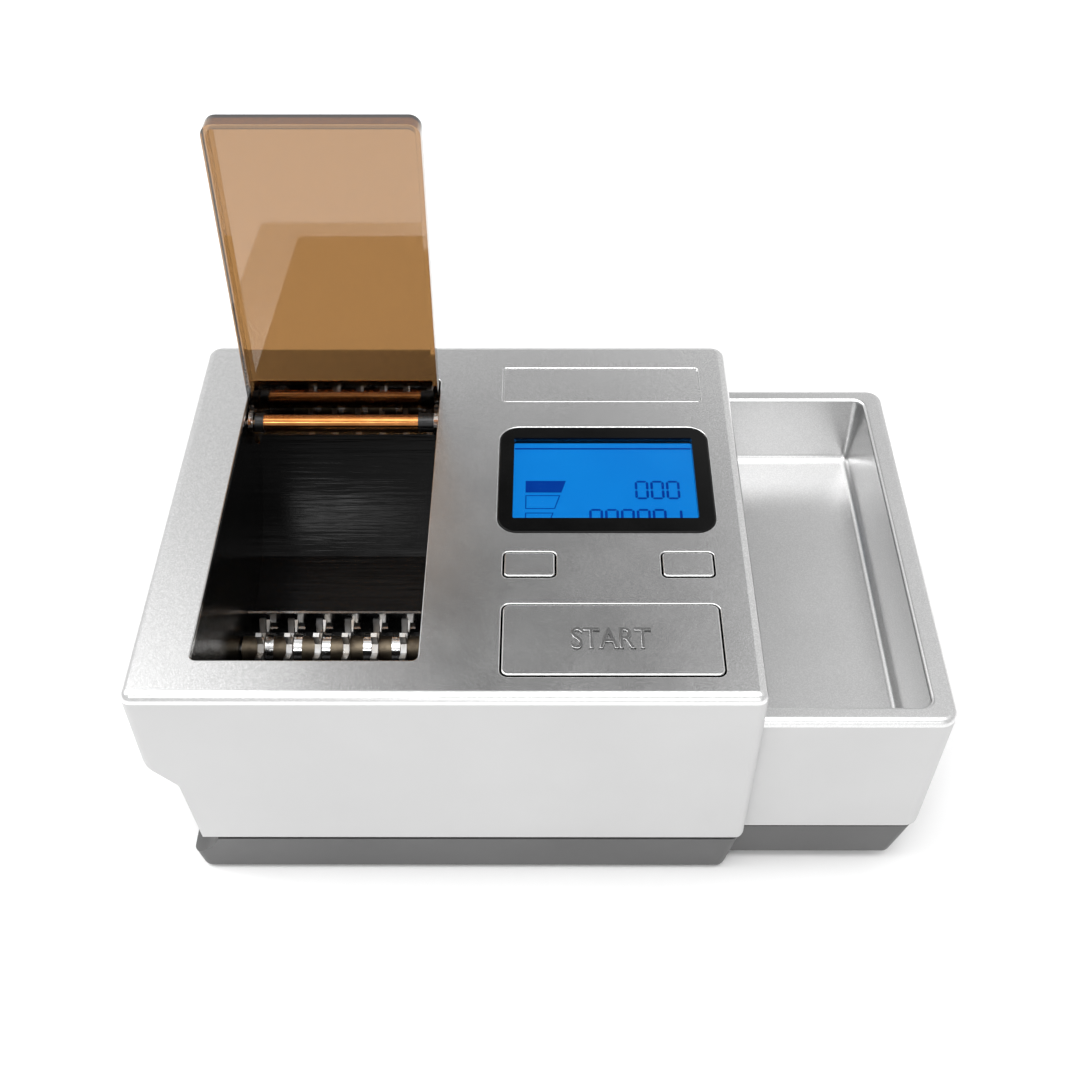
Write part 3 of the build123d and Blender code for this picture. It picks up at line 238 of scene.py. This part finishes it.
def mixed(tree, factor, first, second):
    """A colour between two colour sockets."""
    mix = tree.nodes.new("ShaderNodeMix")
    mix.data_type = "RGBA"
    tree.links.new(factor, mix.inputs["Factor"])
    tree.links.new(first, mix.inputs["A"])
    tree.links.new(second, mix.inputs["B"])
    return mix.outputs["Result"]


def worked_out(tree, operation, first, second):
    """The result of arithmetic on two value sockets."""
    node = tree.nodes.new("ShaderNodeMath")
    node.operation = operation
    tree.links.new(first, node.inputs[0])
    tree.links.new(second, node.inputs[1])
    return node.outputs["Value"]


# %% Moulded grain, handling marks and drifting tone
def build_moulded_grain():
    tree, source, sink = start_group("moulded_grain", [("Vector", "vector"), ("Scale", "value")],
                                     [("Height", "value")])
    noise = noise_in(tree, source.outputs["Vector"], source.outputs["Scale"], 3.0, 0.6)
    tree.links.new(noise.outputs["Fac"], sink.inputs["Height"])
    return tree


def build_handling_marks():
    sockets = [("Vector", "vector"), ("Scale", "value"), ("Smooth", "value"), ("Rubbed", "value")]
    tree, source, sink = start_group("handling_marks", sockets, [("Roughness", "value")])
    broad = noise_in(tree, source.outputs["Vector"], source.outputs["Scale"], 5.0, 0.65)
    smooth, rubbed = source.outputs["Smooth"], source.outputs["Rubbed"]
    rough = span(tree, broad.outputs["Fac"], 0.35, 0.68, smooth, rubbed)
    tree.links.new(rough, sink.inputs["Roughness"])
    return tree


def build_tone_drift():
    sockets = [("Vector", "vector"), ("Scale", "value"), ("Colour", "colour"), ("Darker", "colour")]
    tree, source, sink = start_group("tone_drift", sockets, [("Colour", "colour")])
    noise = noise_in(tree, source.outputs["Vector"], source.outputs["Scale"], 4.0)
    patches = span(tree, noise.outputs["Fac"], 0.35, 0.65)
    tone = mixed(tree, patches, source.outputs["Colour"], source.outputs["Darker"])
    tree.links.new(tone, sink.inputs["Colour"])
    return tree


# %% Painted shade down in the gaps
GAP_SHADE_FADE = 0.00005


def build_painted_gap_shade():
    """Painted shade: the finish's colour above a height in metres, and near black below it, for a gap in
    shadow.
    """
    sockets = [("Vector", "vector"), ("Height", "value"), ("Colour", "colour"), ("Bare", "colour")]
    tree, source, sink = start_group("painted_gap_shade", sockets, [("Colour", "colour")])
    split = tree.nodes.new("ShaderNodeSeparateXYZ")
    tree.links.new(source.outputs["Vector"], split.inputs["Vector"])
    above = worked_out(tree, "SUBTRACT", split.outputs["Z"], source.outputs["Height"])
    painted = span(tree, above, 0.0, GAP_SHADE_FADE)
    tone = mixed(tree, painted, source.outputs["Bare"], source.outputs["Colour"])
    tree.links.new(tone, sink.inputs["Colour"])
    return tree


# %% Metal flake and settled dust
def build_metal_flake():
    sockets = [("Vector", "vector"), ("Scale", "value"), ("Colour", "colour"), ("Glint", "colour")]
    tree, source, sink = start_group("metal_flake", sockets, [("Colour", "colour"), ("Height", "value")])
    cells = tree.nodes.new("ShaderNodeTexVoronoi")
    tree.links.new(source.outputs["Vector"], cells.inputs["Vector"])
    tree.links.new(source.outputs["Scale"], cells.inputs["Scale"])
    split = tree.nodes.new("ShaderNodeSeparateColor")
    tree.links.new(cells.outputs["Color"], split.inputs["Color"])
    bright = span(tree, split.outputs["Red"], 0.35, 1.0)
    tone = mixed(tree, bright, source.outputs["Colour"], source.outputs["Glint"])
    tree.links.new(tone, sink.inputs["Colour"])
    tree.links.new(split.outputs["Green"], sink.inputs["Height"])
    return tree


def build_settled_dust():
    sockets = [("Vector", "vector"), ("Colour", "colour"), ("Dust", "colour"), ("Amount", "value")]
    tree, source, sink = start_group("settled_dust", sockets, [("Colour", "colour")])
    geometry = tree.nodes.new("ShaderNodeNewGeometry")
    split = tree.nodes.new("ShaderNodeSeparateXYZ")
    tree.links.new(geometry.outputs["Normal"], split.inputs["Vector"])
    specks = noise_in(tree, source.outputs["Vector"], 900.0, 6.0, 0.8)
    up = span(tree, split.outputs["Z"], 0.3, 1.0)
    patch = span(tree, specks.outputs["Fac"], 0.55, 0.8)
    lying = worked_out(tree, "MULTIPLY", up, patch)
    settled = worked_out(tree, "MULTIPLY", lying, source.outputs["Amount"])
    tone = mixed(tree, settled, source.outputs["Colour"], source.outputs["Dust"])
    tree.links.new(tone, sink.inputs["Colour"])
    return tree


MOULDED_GRAIN = build_moulded_grain()
HANDLING_MARKS = build_handling_marks()
TONE_DRIFT = build_tone_drift()
PAINTED_GAP_SHADE = build_painted_gap_shade()
METAL_FLAKE = build_metal_flake()
SETTLED_DUST = build_settled_dust()
print("shared effects:", [g.name for g in bpy.data.node_groups])

# %% [markdown]
# ## A bench for making finishes
# Every finish starts the same way: a Principled shader and object coordinates, so a pattern keeps
# its real size in metres and stays still on the piece. The `Finish` bench holds that start and
# adds an effect in one line. Plain numbers go straight on the shader's own sockets.

# %% The finish bench
class Finish:
    """A material under construction: its tree, its shader and its object coordinates."""

    def __init__(self, name, **values):
        self.material = bpy.data.materials.new(name)
        self.material.use_nodes = True
        self.tree = self.material.node_tree
        self.shader = self.tree.nodes["Principled BSDF"]
        self.vector = self.tree.nodes.new("ShaderNodeTexCoord").outputs["Object"]
        for socket, value in values.items():
            self.shader.inputs[socket.replace("_", " ")].default_value = value

    def link(self, output, socket):
        self.tree.links.new(output, self.shader.inputs[socket])

    def effect(self, group, vector=None, **values):
        """Place a shared effect and set its inputs from numbers, colours or other sockets."""
        node = self.tree.nodes.new("ShaderNodeGroup")
        node.node_tree = group
        if "Vector" in node.inputs:
            self.tree.links.new(vector or self.vector, node.inputs["Vector"])
        for socket, value in values.items():
            if isinstance(value, bpy.types.NodeSocket):
                self.tree.links.new(value, node.inputs[socket])
            else:
                node.inputs[socket].default_value = value
        return node.outputs

    def stretched(self, x, y, z):
        """Object coordinates scaled apart, for a pattern that runs along one axis."""
        mapping = self.tree.nodes.new("ShaderNodeMapping")
        mapping.inputs["Scale"].default_value = (x, y, z)
        self.tree.links.new(self.vector, mapping.inputs["Vector"])
        return mapping.outputs["Vector"]

    def bump(self, height, distance, strength=1.0):
        node = self.tree.nodes.new("ShaderNodeBump")
        node.inputs["Distance"].default_value = distance
        node.inputs["Strength"].default_value = strength
        self.tree.links.new(height, node.inputs["Height"])
        self.link(node.outputs["Normal"], "Normal")


def grey(value):
    return (value, value, value, 1)


def dress(material, *names):
    """Give a material to CAD nodes, in place of the plain one that they were packed with."""
    for name in names:
        slots = nodes[name].material_slots
        if not slots:
            nodes[name].data.materials.append(material)
        for slot in slots:
            slot.material = material


# %% [markdown]
# ## Silver paint
# The cover, the keys and the tray are plastic with a silver lacquer: fine aluminium flake under a
# thin clear coat. The flake is a Voronoi pattern a few tenths of a millimetre across that changes
# colour a little from cell to cell, with the same cells as a very shallow bump. The lacquer is
# a full metal, because it should mirror the studio more than it scatters its light, and a weak coat
# gives the soft second highlight along the rounded edges. On the keys the colour turns near black
# just under their rounded top edge: painted shade for the shadowed gap round each key.

# %% Silver paint
def make_silver_paint(name, colour, glint, smooth, rubbed, shade_below=0.0, gap_shade=0.004):
    paint = Finish(name, Metallic=1.0, Coat_Weight=0.05, Coat_Roughness=0.2)
    flake = paint.effect(METAL_FLAKE, Scale=3600.0, Colour=colour, Glint=glint)
    dusty = paint.effect(SETTLED_DUST, Colour=flake["Colour"], Dust=grey(0.72), Amount=0.12)
    # Painted shade: below the given height the colour goes near black, standing in for the shadow in the
    # gap round a key.
    reach = paint.effect(PAINTED_GAP_SHADE, Height=shade_below, Colour=dusty["Colour"], Bare=grey(gap_shade))
    paint.link(reach["Colour"], "Base Color")
    marks = paint.effect(HANDLING_MARKS, Scale=26.0, Smooth=smooth, Rubbed=rubbed)
    paint.link(marks["Roughness"], "Roughness")
    paint.bump(flake["Height"], 0.00002, 0.22)
    return paint.material


# Painted shade: the keys turn near black from this depth under the cover's top, where the gap round them
# is in shadow.
GAP_SHADE_DEPTH = 0.4
gap_shade_top = cover_high.z - GAP_SHADE_DEPTH * MM
SILVER = make_silver_paint("silver_paint", grey(0.70), grey(0.86), 0.24, 0.27)
TRAY_SILVER = make_silver_paint("tray_silver", grey(0.66), grey(0.80), 0.29, 0.33)
KEY_SILVER_GAP_SHADE = make_silver_paint("key_silver_gap_shade", grey(0.70), grey(0.86), 0.24, 0.27, gap_shade_top)
dress(SILVER, "top_cover", "name_plate")
dress(KEY_SILVER_GAP_SHADE, "start_key", "left_key", "right_key")
dress(TRAY_SILVER, "drawer_tray")

# %% [markdown]
# ## Moulded plastics
# The skirt is light grey plastic with a fine matt grain, and the base is the same material in mid
# grey. The hopper is moulded in glossy black: melt flowed across it and left faint lines from side
# to side, which show only in the reflections, so they are a bump that is stretched along X.

# %% Light grey skirt and mid grey base
def make_grained_plastic(name, colour, darker, smooth, rubbed, dust):
    plastic = Finish(name)
    tone = plastic.effect(TONE_DRIFT, Scale=14.0, Colour=colour, Darker=darker)
    dusty = plastic.effect(SETTLED_DUST, Colour=tone["Colour"], Dust=grey(0.6), Amount=dust)
    plastic.link(dusty["Colour"], "Base Color")
    marks = plastic.effect(HANDLING_MARKS, Scale=30.0, Smooth=smooth, Rubbed=rubbed)
    plastic.link(marks["Roughness"], "Roughness")
    grain = plastic.effect(MOULDED_GRAIN, Scale=2600.0)
    plastic.bump(grain["Height"], 0.00003, 0.5)
    return plastic.material


LIGHT_GREY = make_grained_plastic("light_grey_plastic", grey(0.52), grey(0.50), 0.42, 0.5, 0.1)
BASE_GREY = make_grained_plastic("base_grey", grey(0.092), grey(0.082), 0.4, 0.5, 0.12)
dress(LIGHT_GREY, "side_shell", "drawer_skirt")
dress(BASE_GREY, "base_pan", "drawer_base")


# %% Glossy black mouldings
def make_glossy_black(name, smooth, rubbed, lines, shine, dust):
    black = Finish(name, Specular_IOR_Level=shine)
    tone = black.effect(TONE_DRIFT, Scale=40.0, Colour=grey(0.0028), Darker=grey(0.0015))
    dusty = black.effect(SETTLED_DUST, Colour=tone["Colour"], Dust=grey(0.08), Amount=dust)
    black.link(dusty["Colour"], "Base Color")
    marks = black.effect(HANDLING_MARKS, Scale=45.0, Smooth=smooth, Rubbed=rubbed)
    black.link(marks["Roughness"], "Roughness")
    flow = black.effect(MOULDED_GRAIN, black.stretched(0.04, 1.0, 1.0), Scale=420.0)
    black.bump(flow["Height"], lines, 0.8)
    return black.material


HOPPER_BLACK = make_glossy_black("hopper_black", 0.15, 0.24, 0.0003, 0.11, 0.006)
BEZEL_BLACK = make_glossy_black("bezel_black", 0.16, 0.22, 0.0, 0.2, 0.06)
TRIM_BLACK = make_glossy_black("trim_black", 0.22, 0.36, 0.00002, 0.4, 0.2)
dress(HOPPER_BLACK, "hopper_liner")
dress(BEZEL_BLACK, "display_frame")
dress(TRIM_BLACK, "hinge_collars", "power_inlet", "switch_housing", "power_rocker", "tube_clamp")

# %% [markdown]
# ## Metals
# Six metals work in the machine. The nozzle, the rings and the comb plate are polished steel, the
# picker wheels and shafts are turned steel with fine rings, the drum is dark sintered bronze that
# has picked up tobacco dust, the hinge sleeve is polished metal whose copper colour is a painted
# reflection of the amber lid above it, the frame plates are zinc plated and the chamber block is
# milled aluminium. All are full metals; what sets them apart is their colour, their roughness and
# the direction of their fine lines.

# %% The metals
def make_metal(name, colour, darker, smooth, rubbed, line_scale, line_depth, stretch=(1, 1, 1)):
    metal = Finish(name, Metallic=1.0)
    tone = metal.effect(TONE_DRIFT, Scale=120.0, Colour=colour, Darker=darker)
    metal.link(tone["Colour"], "Base Color")
    marks = metal.effect(HANDLING_MARKS, Scale=160.0, Smooth=smooth, Rubbed=rubbed)
    metal.link(marks["Roughness"], "Roughness")
    lines = metal.effect(MOULDED_GRAIN, metal.stretched(*stretch), Scale=line_scale)
    metal.bump(lines["Height"], line_depth, 0.6)
    return metal.material


CHROME = make_metal("polished_steel", grey(0.82), grey(0.74), 0.08, 0.18, 900.0, 0.00001)
STEEL = make_metal("turned_steel", grey(0.5), (0.36, 0.33, 0.29, 1), 0.26, 0.42, 1500.0, 0.00003,
                   (6, 1, 1))
BRONZE = make_metal("sintered_bronze", (0.17, 0.14, 0.10, 1), (0.07, 0.055, 0.04, 1),
                    0.35, 0.55, 1800.0, 0.00006)
# Painted reflection: the sleeve's copper colour stands in for the amber lid mirrored in polished metal.
SLEEVE_AMBER_REFLECTION = make_metal("sleeve_painted_amber_reflection", (0.47, 0.20, 0.065, 1), (0.38, 0.15, 0.045, 1),
                    0.14, 0.24, 700.0, 0.00001)
ZINC = make_metal("zinc_plate", (0.58, 0.57, 0.52, 1), (0.45, 0.46, 0.44, 1), 0.3, 0.46, 260.0, 0.00002)
ALUMINIUM = make_metal("milled_aluminium", grey(0.74), grey(0.66), 0.25, 0.36, 1300.0, 0.00002,
                       (0.1, 1, 1))
dress(CHROME, "tube_nozzle", "injector_spoon", "comb_plate", "spacer_rings")
dress(CHROME, "hinge_rod", "rocker_pin", "clamp_pin")
dress(STEEL, "picker_wheels", "picker_shaft", "lead_screw", "guide_rod", "press_bar")
dress(STEEL, "base_screws", "drawer_screws")
dress(BRONZE, "picker_drum", "shaft_bushes")
dress(SLEEVE_AMBER_REFLECTION, "hinge_sleeve")
dress(ZINC, "left_frame_plate", "right_frame_plate", "motor_saddle")
dress(ZINC, "picker_motor", "drive_motor", "transformer")
dress(ALUMINIUM, "chamber_block", "injector_carriage", "screw_pulley", "drive_pulley")

# %% [markdown]
# ## Rubber, nylon and circuit boards
# These sit out of sight, but the machine is judged from every side and with its drawer out, so
# they get honest finishes too: matt rubber with a coarse grain, creamy nylon, and green solder
# mask whose copper tracks show as slightly lighter cells.

# %% The hidden plastics
RUBBER = make_grained_plastic("black_rubber", grey(0.022), grey(0.032), 0.7, 0.85, 0.3)
NYLON = make_grained_plastic("natural_nylon", (0.72, 0.70, 0.60, 1), (0.66, 0.63, 0.52, 1),
                             0.38, 0.5, 0.1)
dress(RUBBER, "feet", "drive_belt")
dress(NYLON, "picker_gear", "picker_pinion", "drawer_runners")


def make_board_green():
    board = Finish("solder_mask", Coat_Weight=0.3, Coat_Roughness=0.2)
    mask, track = (0.01, 0.10, 0.04, 1), (0.02, 0.19, 0.08, 1)
    tracks = board.effect(METAL_FLAKE, Scale=260.0, Colour=mask, Glint=track)
    board.link(tracks["Colour"], "Base Color")
    marks = board.effect(HANDLING_MARKS, Scale=60.0, Smooth=0.25, Rubbed=0.4)
    board.link(marks["Roughness"], "Roughness")
    board.bump(tracks["Height"], 0.00003, 0.5)
    return board.material


dress(make_board_green(), "control_board", "power_board", "key_switches")

# %% [markdown]
# ## Amber acrylic and the clear window
# The lid is one clear amber moulding. Glass tints light once on the way in and once on the way
# out, and this shader takes the root of its colour at each wall, so the colour set here is what the
# whole lid lets through. A little roughness variation stands for the haze that wiping leaves.

# %% The clear plastics
def make_clear(name, colour, index, smooth, rubbed):
    clear = Finish(name, Transmission_Weight=1.0, IOR=index)
    clear.shader.inputs["Base Color"].default_value = colour
    marks = clear.effect(HANDLING_MARKS, Scale=20.0, Smooth=smooth, Rubbed=rubbed)
    clear.link(marks["Roughness"], "Roughness")
    waves = clear.effect(MOULDED_GRAIN, Scale=30.0)
    clear.bump(waves["Height"], 0.0001, 0.1)
    return clear.material


AMBER = make_clear("amber_acrylic", (0.33, 0.172, 0.062, 1), 1.9, 0.015, 0.05)
WINDOW = make_clear("clear_window", (0.97, 0.99, 1.0, 1), 1.14, 0.01, 0.03)
dress(AMBER, "lid")
dress(WINDOW, "display_glass")

# %% [markdown]
# ## The lit display
# A blue negative display is a backlight behind a filter: it gives off its own colour, slightly
# stronger in the middle of the light guide than at its edges. The panel's material is an emission
# that drifts between two blues, and the marks on it are modelled as thin pieces later.

# %% The display panel
def make_display_blue():
    lit = Finish("display_blue", Emission_Strength=0.88, Specular_IOR_Level=0.0)
    lit.shader.inputs["Base Color"].default_value = (0.002, 0.02, 0.06, 1)
    blue, deeper = (0.004, 0.23, 0.72, 1), (0.003, 0.19, 0.66, 1)
    glow = lit.effect(TONE_DRIFT, Scale=14.0, Colour=blue, Darker=deeper)
    lit.link(glow["Colour"], "Emission Color")
    marks = lit.effect(HANDLING_MARKS, Scale=40.0, Smooth=0.3, Rubbed=0.4)
    lit.link(marks["Roughness"], "Roughness")
    return lit.material


dress(make_display_blue(), "lcd_panel")
print("materials:", len(bpy.data.materials))

# %% [markdown]
# ## The word on the long key
# START is moulded a few tenths of a millimetre proud of the key, with soft edges round each stroke.
# A text object with a little extrusion and a round bevel gives exactly that profile. It is made a
# mesh before it is fitted to its width and depth on the key, because a text object can't carry its
# place in its points. Its colour carries painted shade: it is a little darker than the key's and
# turns near black down the rounding, standing in for the shade round the raised strokes, so the
# word reads even where the key mirrors the same thing as its letters.

# %% Helpers for new pieces
def settle(piece, name, material, body):
    """Name a finished piece, put its place into its mesh, dress it and let it ride on a body."""
    bpy.ops.object.select_all(action="DESELECT")
    piece.select_set(True)
    bpy.context.view_layer.objects.active = piece
    bpy.ops.object.transform_apply(location=True, rotation=True, scale=True)
    piece.name = name
    piece.data.materials.clear()
    piece.data.materials.append(material)
    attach(piece, body)
    print(name, "has", len(piece.data.polygons), "faces and rides on", body)
    return piece


# %% Lettering
EDGE_ROUND = 0.32
SIZE_PER_CAPITAL = 1.4


def raised_word(text, x, y, z, proud):
    """Flat lettering fitted between two X and two Y values, standing proud of the height z."""
    bpy.ops.object.select_all(action="DESELECT")
    bpy.ops.object.text_add(location=at(sum(x) / 2, sum(y) / 2, z))
    word = bpy.context.object
    word.data.body = text
    word.data.align_x = "CENTER"
    word.data.align_y = "CENTER"
    word.data.size = SIZE_PER_CAPITAL * (y[1] - y[0]) * MM
    word.data.extrude = (proud - EDGE_ROUND) * MM
    word.data.bevel_depth = EDGE_ROUND * MM
    word.data.bevel_resolution = 3
    bpy.ops.object.convert(target="MESH")
    word = bpy.context.object
    middle_x = sum(corner[0] for corner in word.bound_box) / 8
    middle_y = sum(corner[1] for corner in word.bound_box) / 8
    word.data.transform(Matrix.Translation((-middle_x, -middle_y, 0)))
    word.scale = ((x[1] - x[0]) * MM / word.dimensions.x, (y[1] - y[0]) * MM / word.dimensions.y, 1)
    return word


# %% START
KEY_TOP = (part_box("start_key")[1].z - TABLE) / MM
WORD_X = (167.0, 197.4)
WORD_Y = (22.8, 33.5)
WORD_PROUD = 0.6
start_word = raised_word("START", WORD_X, WORD_Y, KEY_TOP, WORD_PROUD)
# Painted shade: the letters are darker than the key and near black down their rounding, for the shade
# round the raised strokes.
letter_shade_top = at(0, 0, KEY_TOP + WORD_PROUD - EDGE_ROUND / 4).z
LETTER_SILVER_PAINTED_SHADE = make_silver_paint("letter_silver_painted_shade", grey(0.44), grey(0.56), 0.24, 0.27, letter_shade_top, 0.03)
settle(start_word, "start_lettering", LETTER_SILVER_PAINTED_SHADE, "start_key")

# %% [markdown]
# ## The marks on the display
# The display shows a counter in two rows of seven-bar digits and a gauge of three stacked cells
# that narrow downwards. On the real glass they are thin dark films, so each bar is a plate of a
# few hundredths of a millimetre. One bar is a plane with its corners cut and then extruded, one
# digit is a loop over the bars that it lights, and a gauge cell is a plane whose front edge is
# drawn in. What reaches past the front edge of the window is cut off with a bisect.

# %% The ink and the window
def make_display_ink():
    ink = Finish("display_ink", Emission_Strength=0.8, Specular_IOR_Level=0.0)
    ink.shader.inputs["Base Color"].default_value = (0.001, 0.006, 0.03, 1)
    blue, deeper = (0.001, 0.05, 0.37, 1), (0.001, 0.035, 0.31, 1)
    glow = ink.effect(TONE_DRIFT, Scale=60.0, Colour=blue, Darker=deeper)
    ink.link(glow["Colour"], "Emission Color")
    return ink.material


INK = make_display_ink()
PANEL_TOP = (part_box("lcd_panel")[1].z - TABLE) / MM
glass_low, glass_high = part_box("display_glass")
WINDOW_FRONT = (glass_low.y - FRONT) / MM
WINDOW_BACK = (glass_high.y - FRONT) / MM
WINDOW_LEFT = (glass_low.x - LEFT) / MM
WINDOW_RIGHT = (glass_high.x - LEFT) / MM
FILM = 0.04
LINE = 1.1
print(f"display window {WINDOW_RIGHT - WINDOW_LEFT:.1f} x {WINDOW_BACK - WINDOW_FRONT:.1f} mm")


# %% One bar, and several joined
def bar(x, y, along, across):
    """A thin plate with cut corners, centred at x, y on the display panel."""
    bpy.ops.object.select_all(action="DESELECT")
    bpy.ops.mesh.primitive_plane_add(size=1.0, location=at(x, y, PANEL_TOP))
    plate = bpy.context.object
    plate.scale = (along * MM, across * MM, 1)
    bpy.ops.object.transform_apply(location=False, rotation=False, scale=True)
    bpy.ops.object.mode_set(mode="EDIT")
    bpy.ops.mesh.select_all(action="SELECT")
    bpy.ops.mesh.bevel(offset=0.4 * min(along, across) * MM, segments=1, affect="VERTICES")
    bpy.ops.mesh.extrude_region_move(TRANSFORM_OT_translate={"value": (0, 0, FILM * MM)})
    bpy.ops.mesh.select_all(action="SELECT")
    bpy.ops.mesh.normals_make_consistent(inside=False)
    bpy.ops.object.mode_set(mode="OBJECT")
    return plate


def joined(pieces):
    """Several pieces made one object."""
    bpy.ops.object.select_all(action="DESELECT")
    for piece in pieces:
        piece.select_set(True)
    bpy.context.view_layer.objects.active = pieces[0]
    bpy.ops.object.join()
    return bpy.context.object


# %% One digit
BARS_OF = {
    "0": "top bottom upper_left lower_left upper_right lower_right",
    "1": "upper_right lower_right",
}


def digit(figure, x, y, wide, tall):
    """The lit bars of a seven-bar digit whose front left corner is at x, y."""
    side = tall / 2 - 0.45 * LINE
    place = {
        "top": (x + wide / 2, y + tall, wide - 0.5 * LINE, LINE),
        "bottom": (x + wide / 2, y, wide - 0.5 * LINE, LINE),
        "upper_left": (x, y + 0.75 * tall, LINE, side),
        "lower_left": (x, y + 0.25 * tall, LINE, side),
        "upper_right": (x + wide, y + 0.75 * tall, LINE, side),
        "lower_right": (x + wide, y + 0.25 * tall, LINE, side),
    }
    return [bar(*place[name]) for name in BARS_OF[figure].split()]


# %% Both rows of figures
DIGIT_WIDE = 4.7
DIGIT_PITCH = 6.6


def row_of(figures, right, front, tall):
    """Digits set from the right, their bars joined into one piece."""
    bars = []
    for step, figure in enumerate(reversed(figures)):
        bars += digit(figure, right - DIGIT_WIDE - step * DIGIT_PITCH, front, DIGIT_WIDE, tall)
    return joined(bars)


def cut_at_window(piece):
    """Trim away what lies in front of the window's front edge."""
    bpy.ops.object.select_all(action="DESELECT")
    piece.select_set(True)
    bpy.context.view_layer.objects.active = piece
    bpy.ops.object.mode_set(mode="EDIT")
    bpy.ops.mesh.select_all(action="SELECT")
    corner = at(WINDOW_LEFT, WINDOW_FRONT, PANEL_TOP)
    bpy.ops.mesh.bisect(plane_co=corner, plane_no=(0, 1, 0), clear_inner=True, use_fill=True)
    bpy.ops.object.mode_set(mode="OBJECT")


COUNT_RIGHT = WINDOW_RIGHT - 7.0
SMALL_FRONT, SMALL_TALL = WINDOW_FRONT + 14.6, 9.9
LARGE_FRONT, LARGE_TALL = WINDOW_FRONT - 2.4, 10.2
small_row = row_of("000", COUNT_RIGHT, SMALL_FRONT, SMALL_TALL)
settle(small_row, "counter_small", INK, "housing")
large_row = row_of("000001", COUNT_RIGHT + 0.2, LARGE_FRONT, LARGE_TALL)
settle(large_row, "counter_large", INK, "housing")
cut_at_window(large_row)


# %% The gauge: one full cell over two empty ones
GAUGE_LEFT = WINDOW_LEFT + 5.1
GAUGE_RIGHT = WINDOW_LEFT + 22.2
GAUGE_BACK = 25.0
GAUGE_LEAN = 0.28
CELL_LINE = 0.45


def gauge_cell(front, back, right_front, right_back, full):
    """A cell between two Y values, with X of its slanting right side at front and back."""
    bpy.ops.object.select_all(action="DESELECT")
    middle_place = at((GAUGE_LEFT + right_back) / 2, (front + back) / 2, PANEL_TOP)
    bpy.ops.mesh.primitive_plane_add(size=1.0, location=middle_place)
    cell = bpy.context.object
    cell.scale = ((right_back - GAUGE_LEFT) * MM, (back - front) * MM, 1)
    bpy.ops.object.transform_apply(location=True, rotation=False, scale=True)
    bpy.ops.object.mode_set(mode="EDIT")
    bpy.ops.mesh.select_all(action="DESELECT")
    bpy.ops.object.mode_set(mode="OBJECT")
    for corner in cell.data.vertices:
        corner.select = corner.co.x > middle_place.x and corner.co.y < middle_place.y
    bpy.ops.object.mode_set(mode="EDIT")
    bpy.ops.transform.translate(value=((right_front - right_back) * MM, 0, 0))
    bpy.ops.mesh.select_all(action="SELECT")
    if not full:
        bpy.ops.mesh.inset(thickness=CELL_LINE * MM)
        bpy.ops.mesh.delete(type="FACE")
        bpy.ops.mesh.select_all(action="SELECT")
    bpy.ops.mesh.extrude_region_move(TRANSFORM_OT_translate={"value": (0, 0, FILM * MM)})
    bpy.ops.mesh.select_all(action="SELECT")
    bpy.ops.mesh.normals_make_consistent(inside=False)
    bpy.ops.object.mode_set(mode="OBJECT")
    return cell


def gauge_side(y):
    """X of the gauge's slanting side at y."""
    return GAUGE_RIGHT - GAUGE_LEAN * (WINDOW_FRONT + GAUGE_BACK - y)


CELLS = (
    ("gauge_full_cell", 18.0, GAUGE_BACK, True),
    ("gauge_middle_cell", 8.4, 16.4, False),
    ("gauge_lower_cell", -1.4, 6.2, False),
)
for name, front, back, full in CELLS:
    low_y, high_y = WINDOW_FRONT + front, WINDOW_FRONT + back
    cell = gauge_cell(low_y, high_y, gauge_side(low_y), gauge_side(high_y), full)
    settle(cell, name, INK, "housing")
    if front < 0:
        cut_at_window(cell)

# %% Painted shade: a dark strip along the back of the window, where the recess's back wall shades the panel
SHADE_FROM_BACK = 3.4
SHADE_STRIP_WIDE = 0.9
window_middle = (WINDOW_LEFT + WINDOW_RIGHT) / 2
window_wide = WINDOW_RIGHT - WINDOW_LEFT
recess_shade_strip = bar(window_middle, WINDOW_BACK - SHADE_FROM_BACK, window_wide - 0.2, SHADE_STRIP_WIDE)
settle(recess_shade_strip, "painted_recess_shade", INK, "housing")
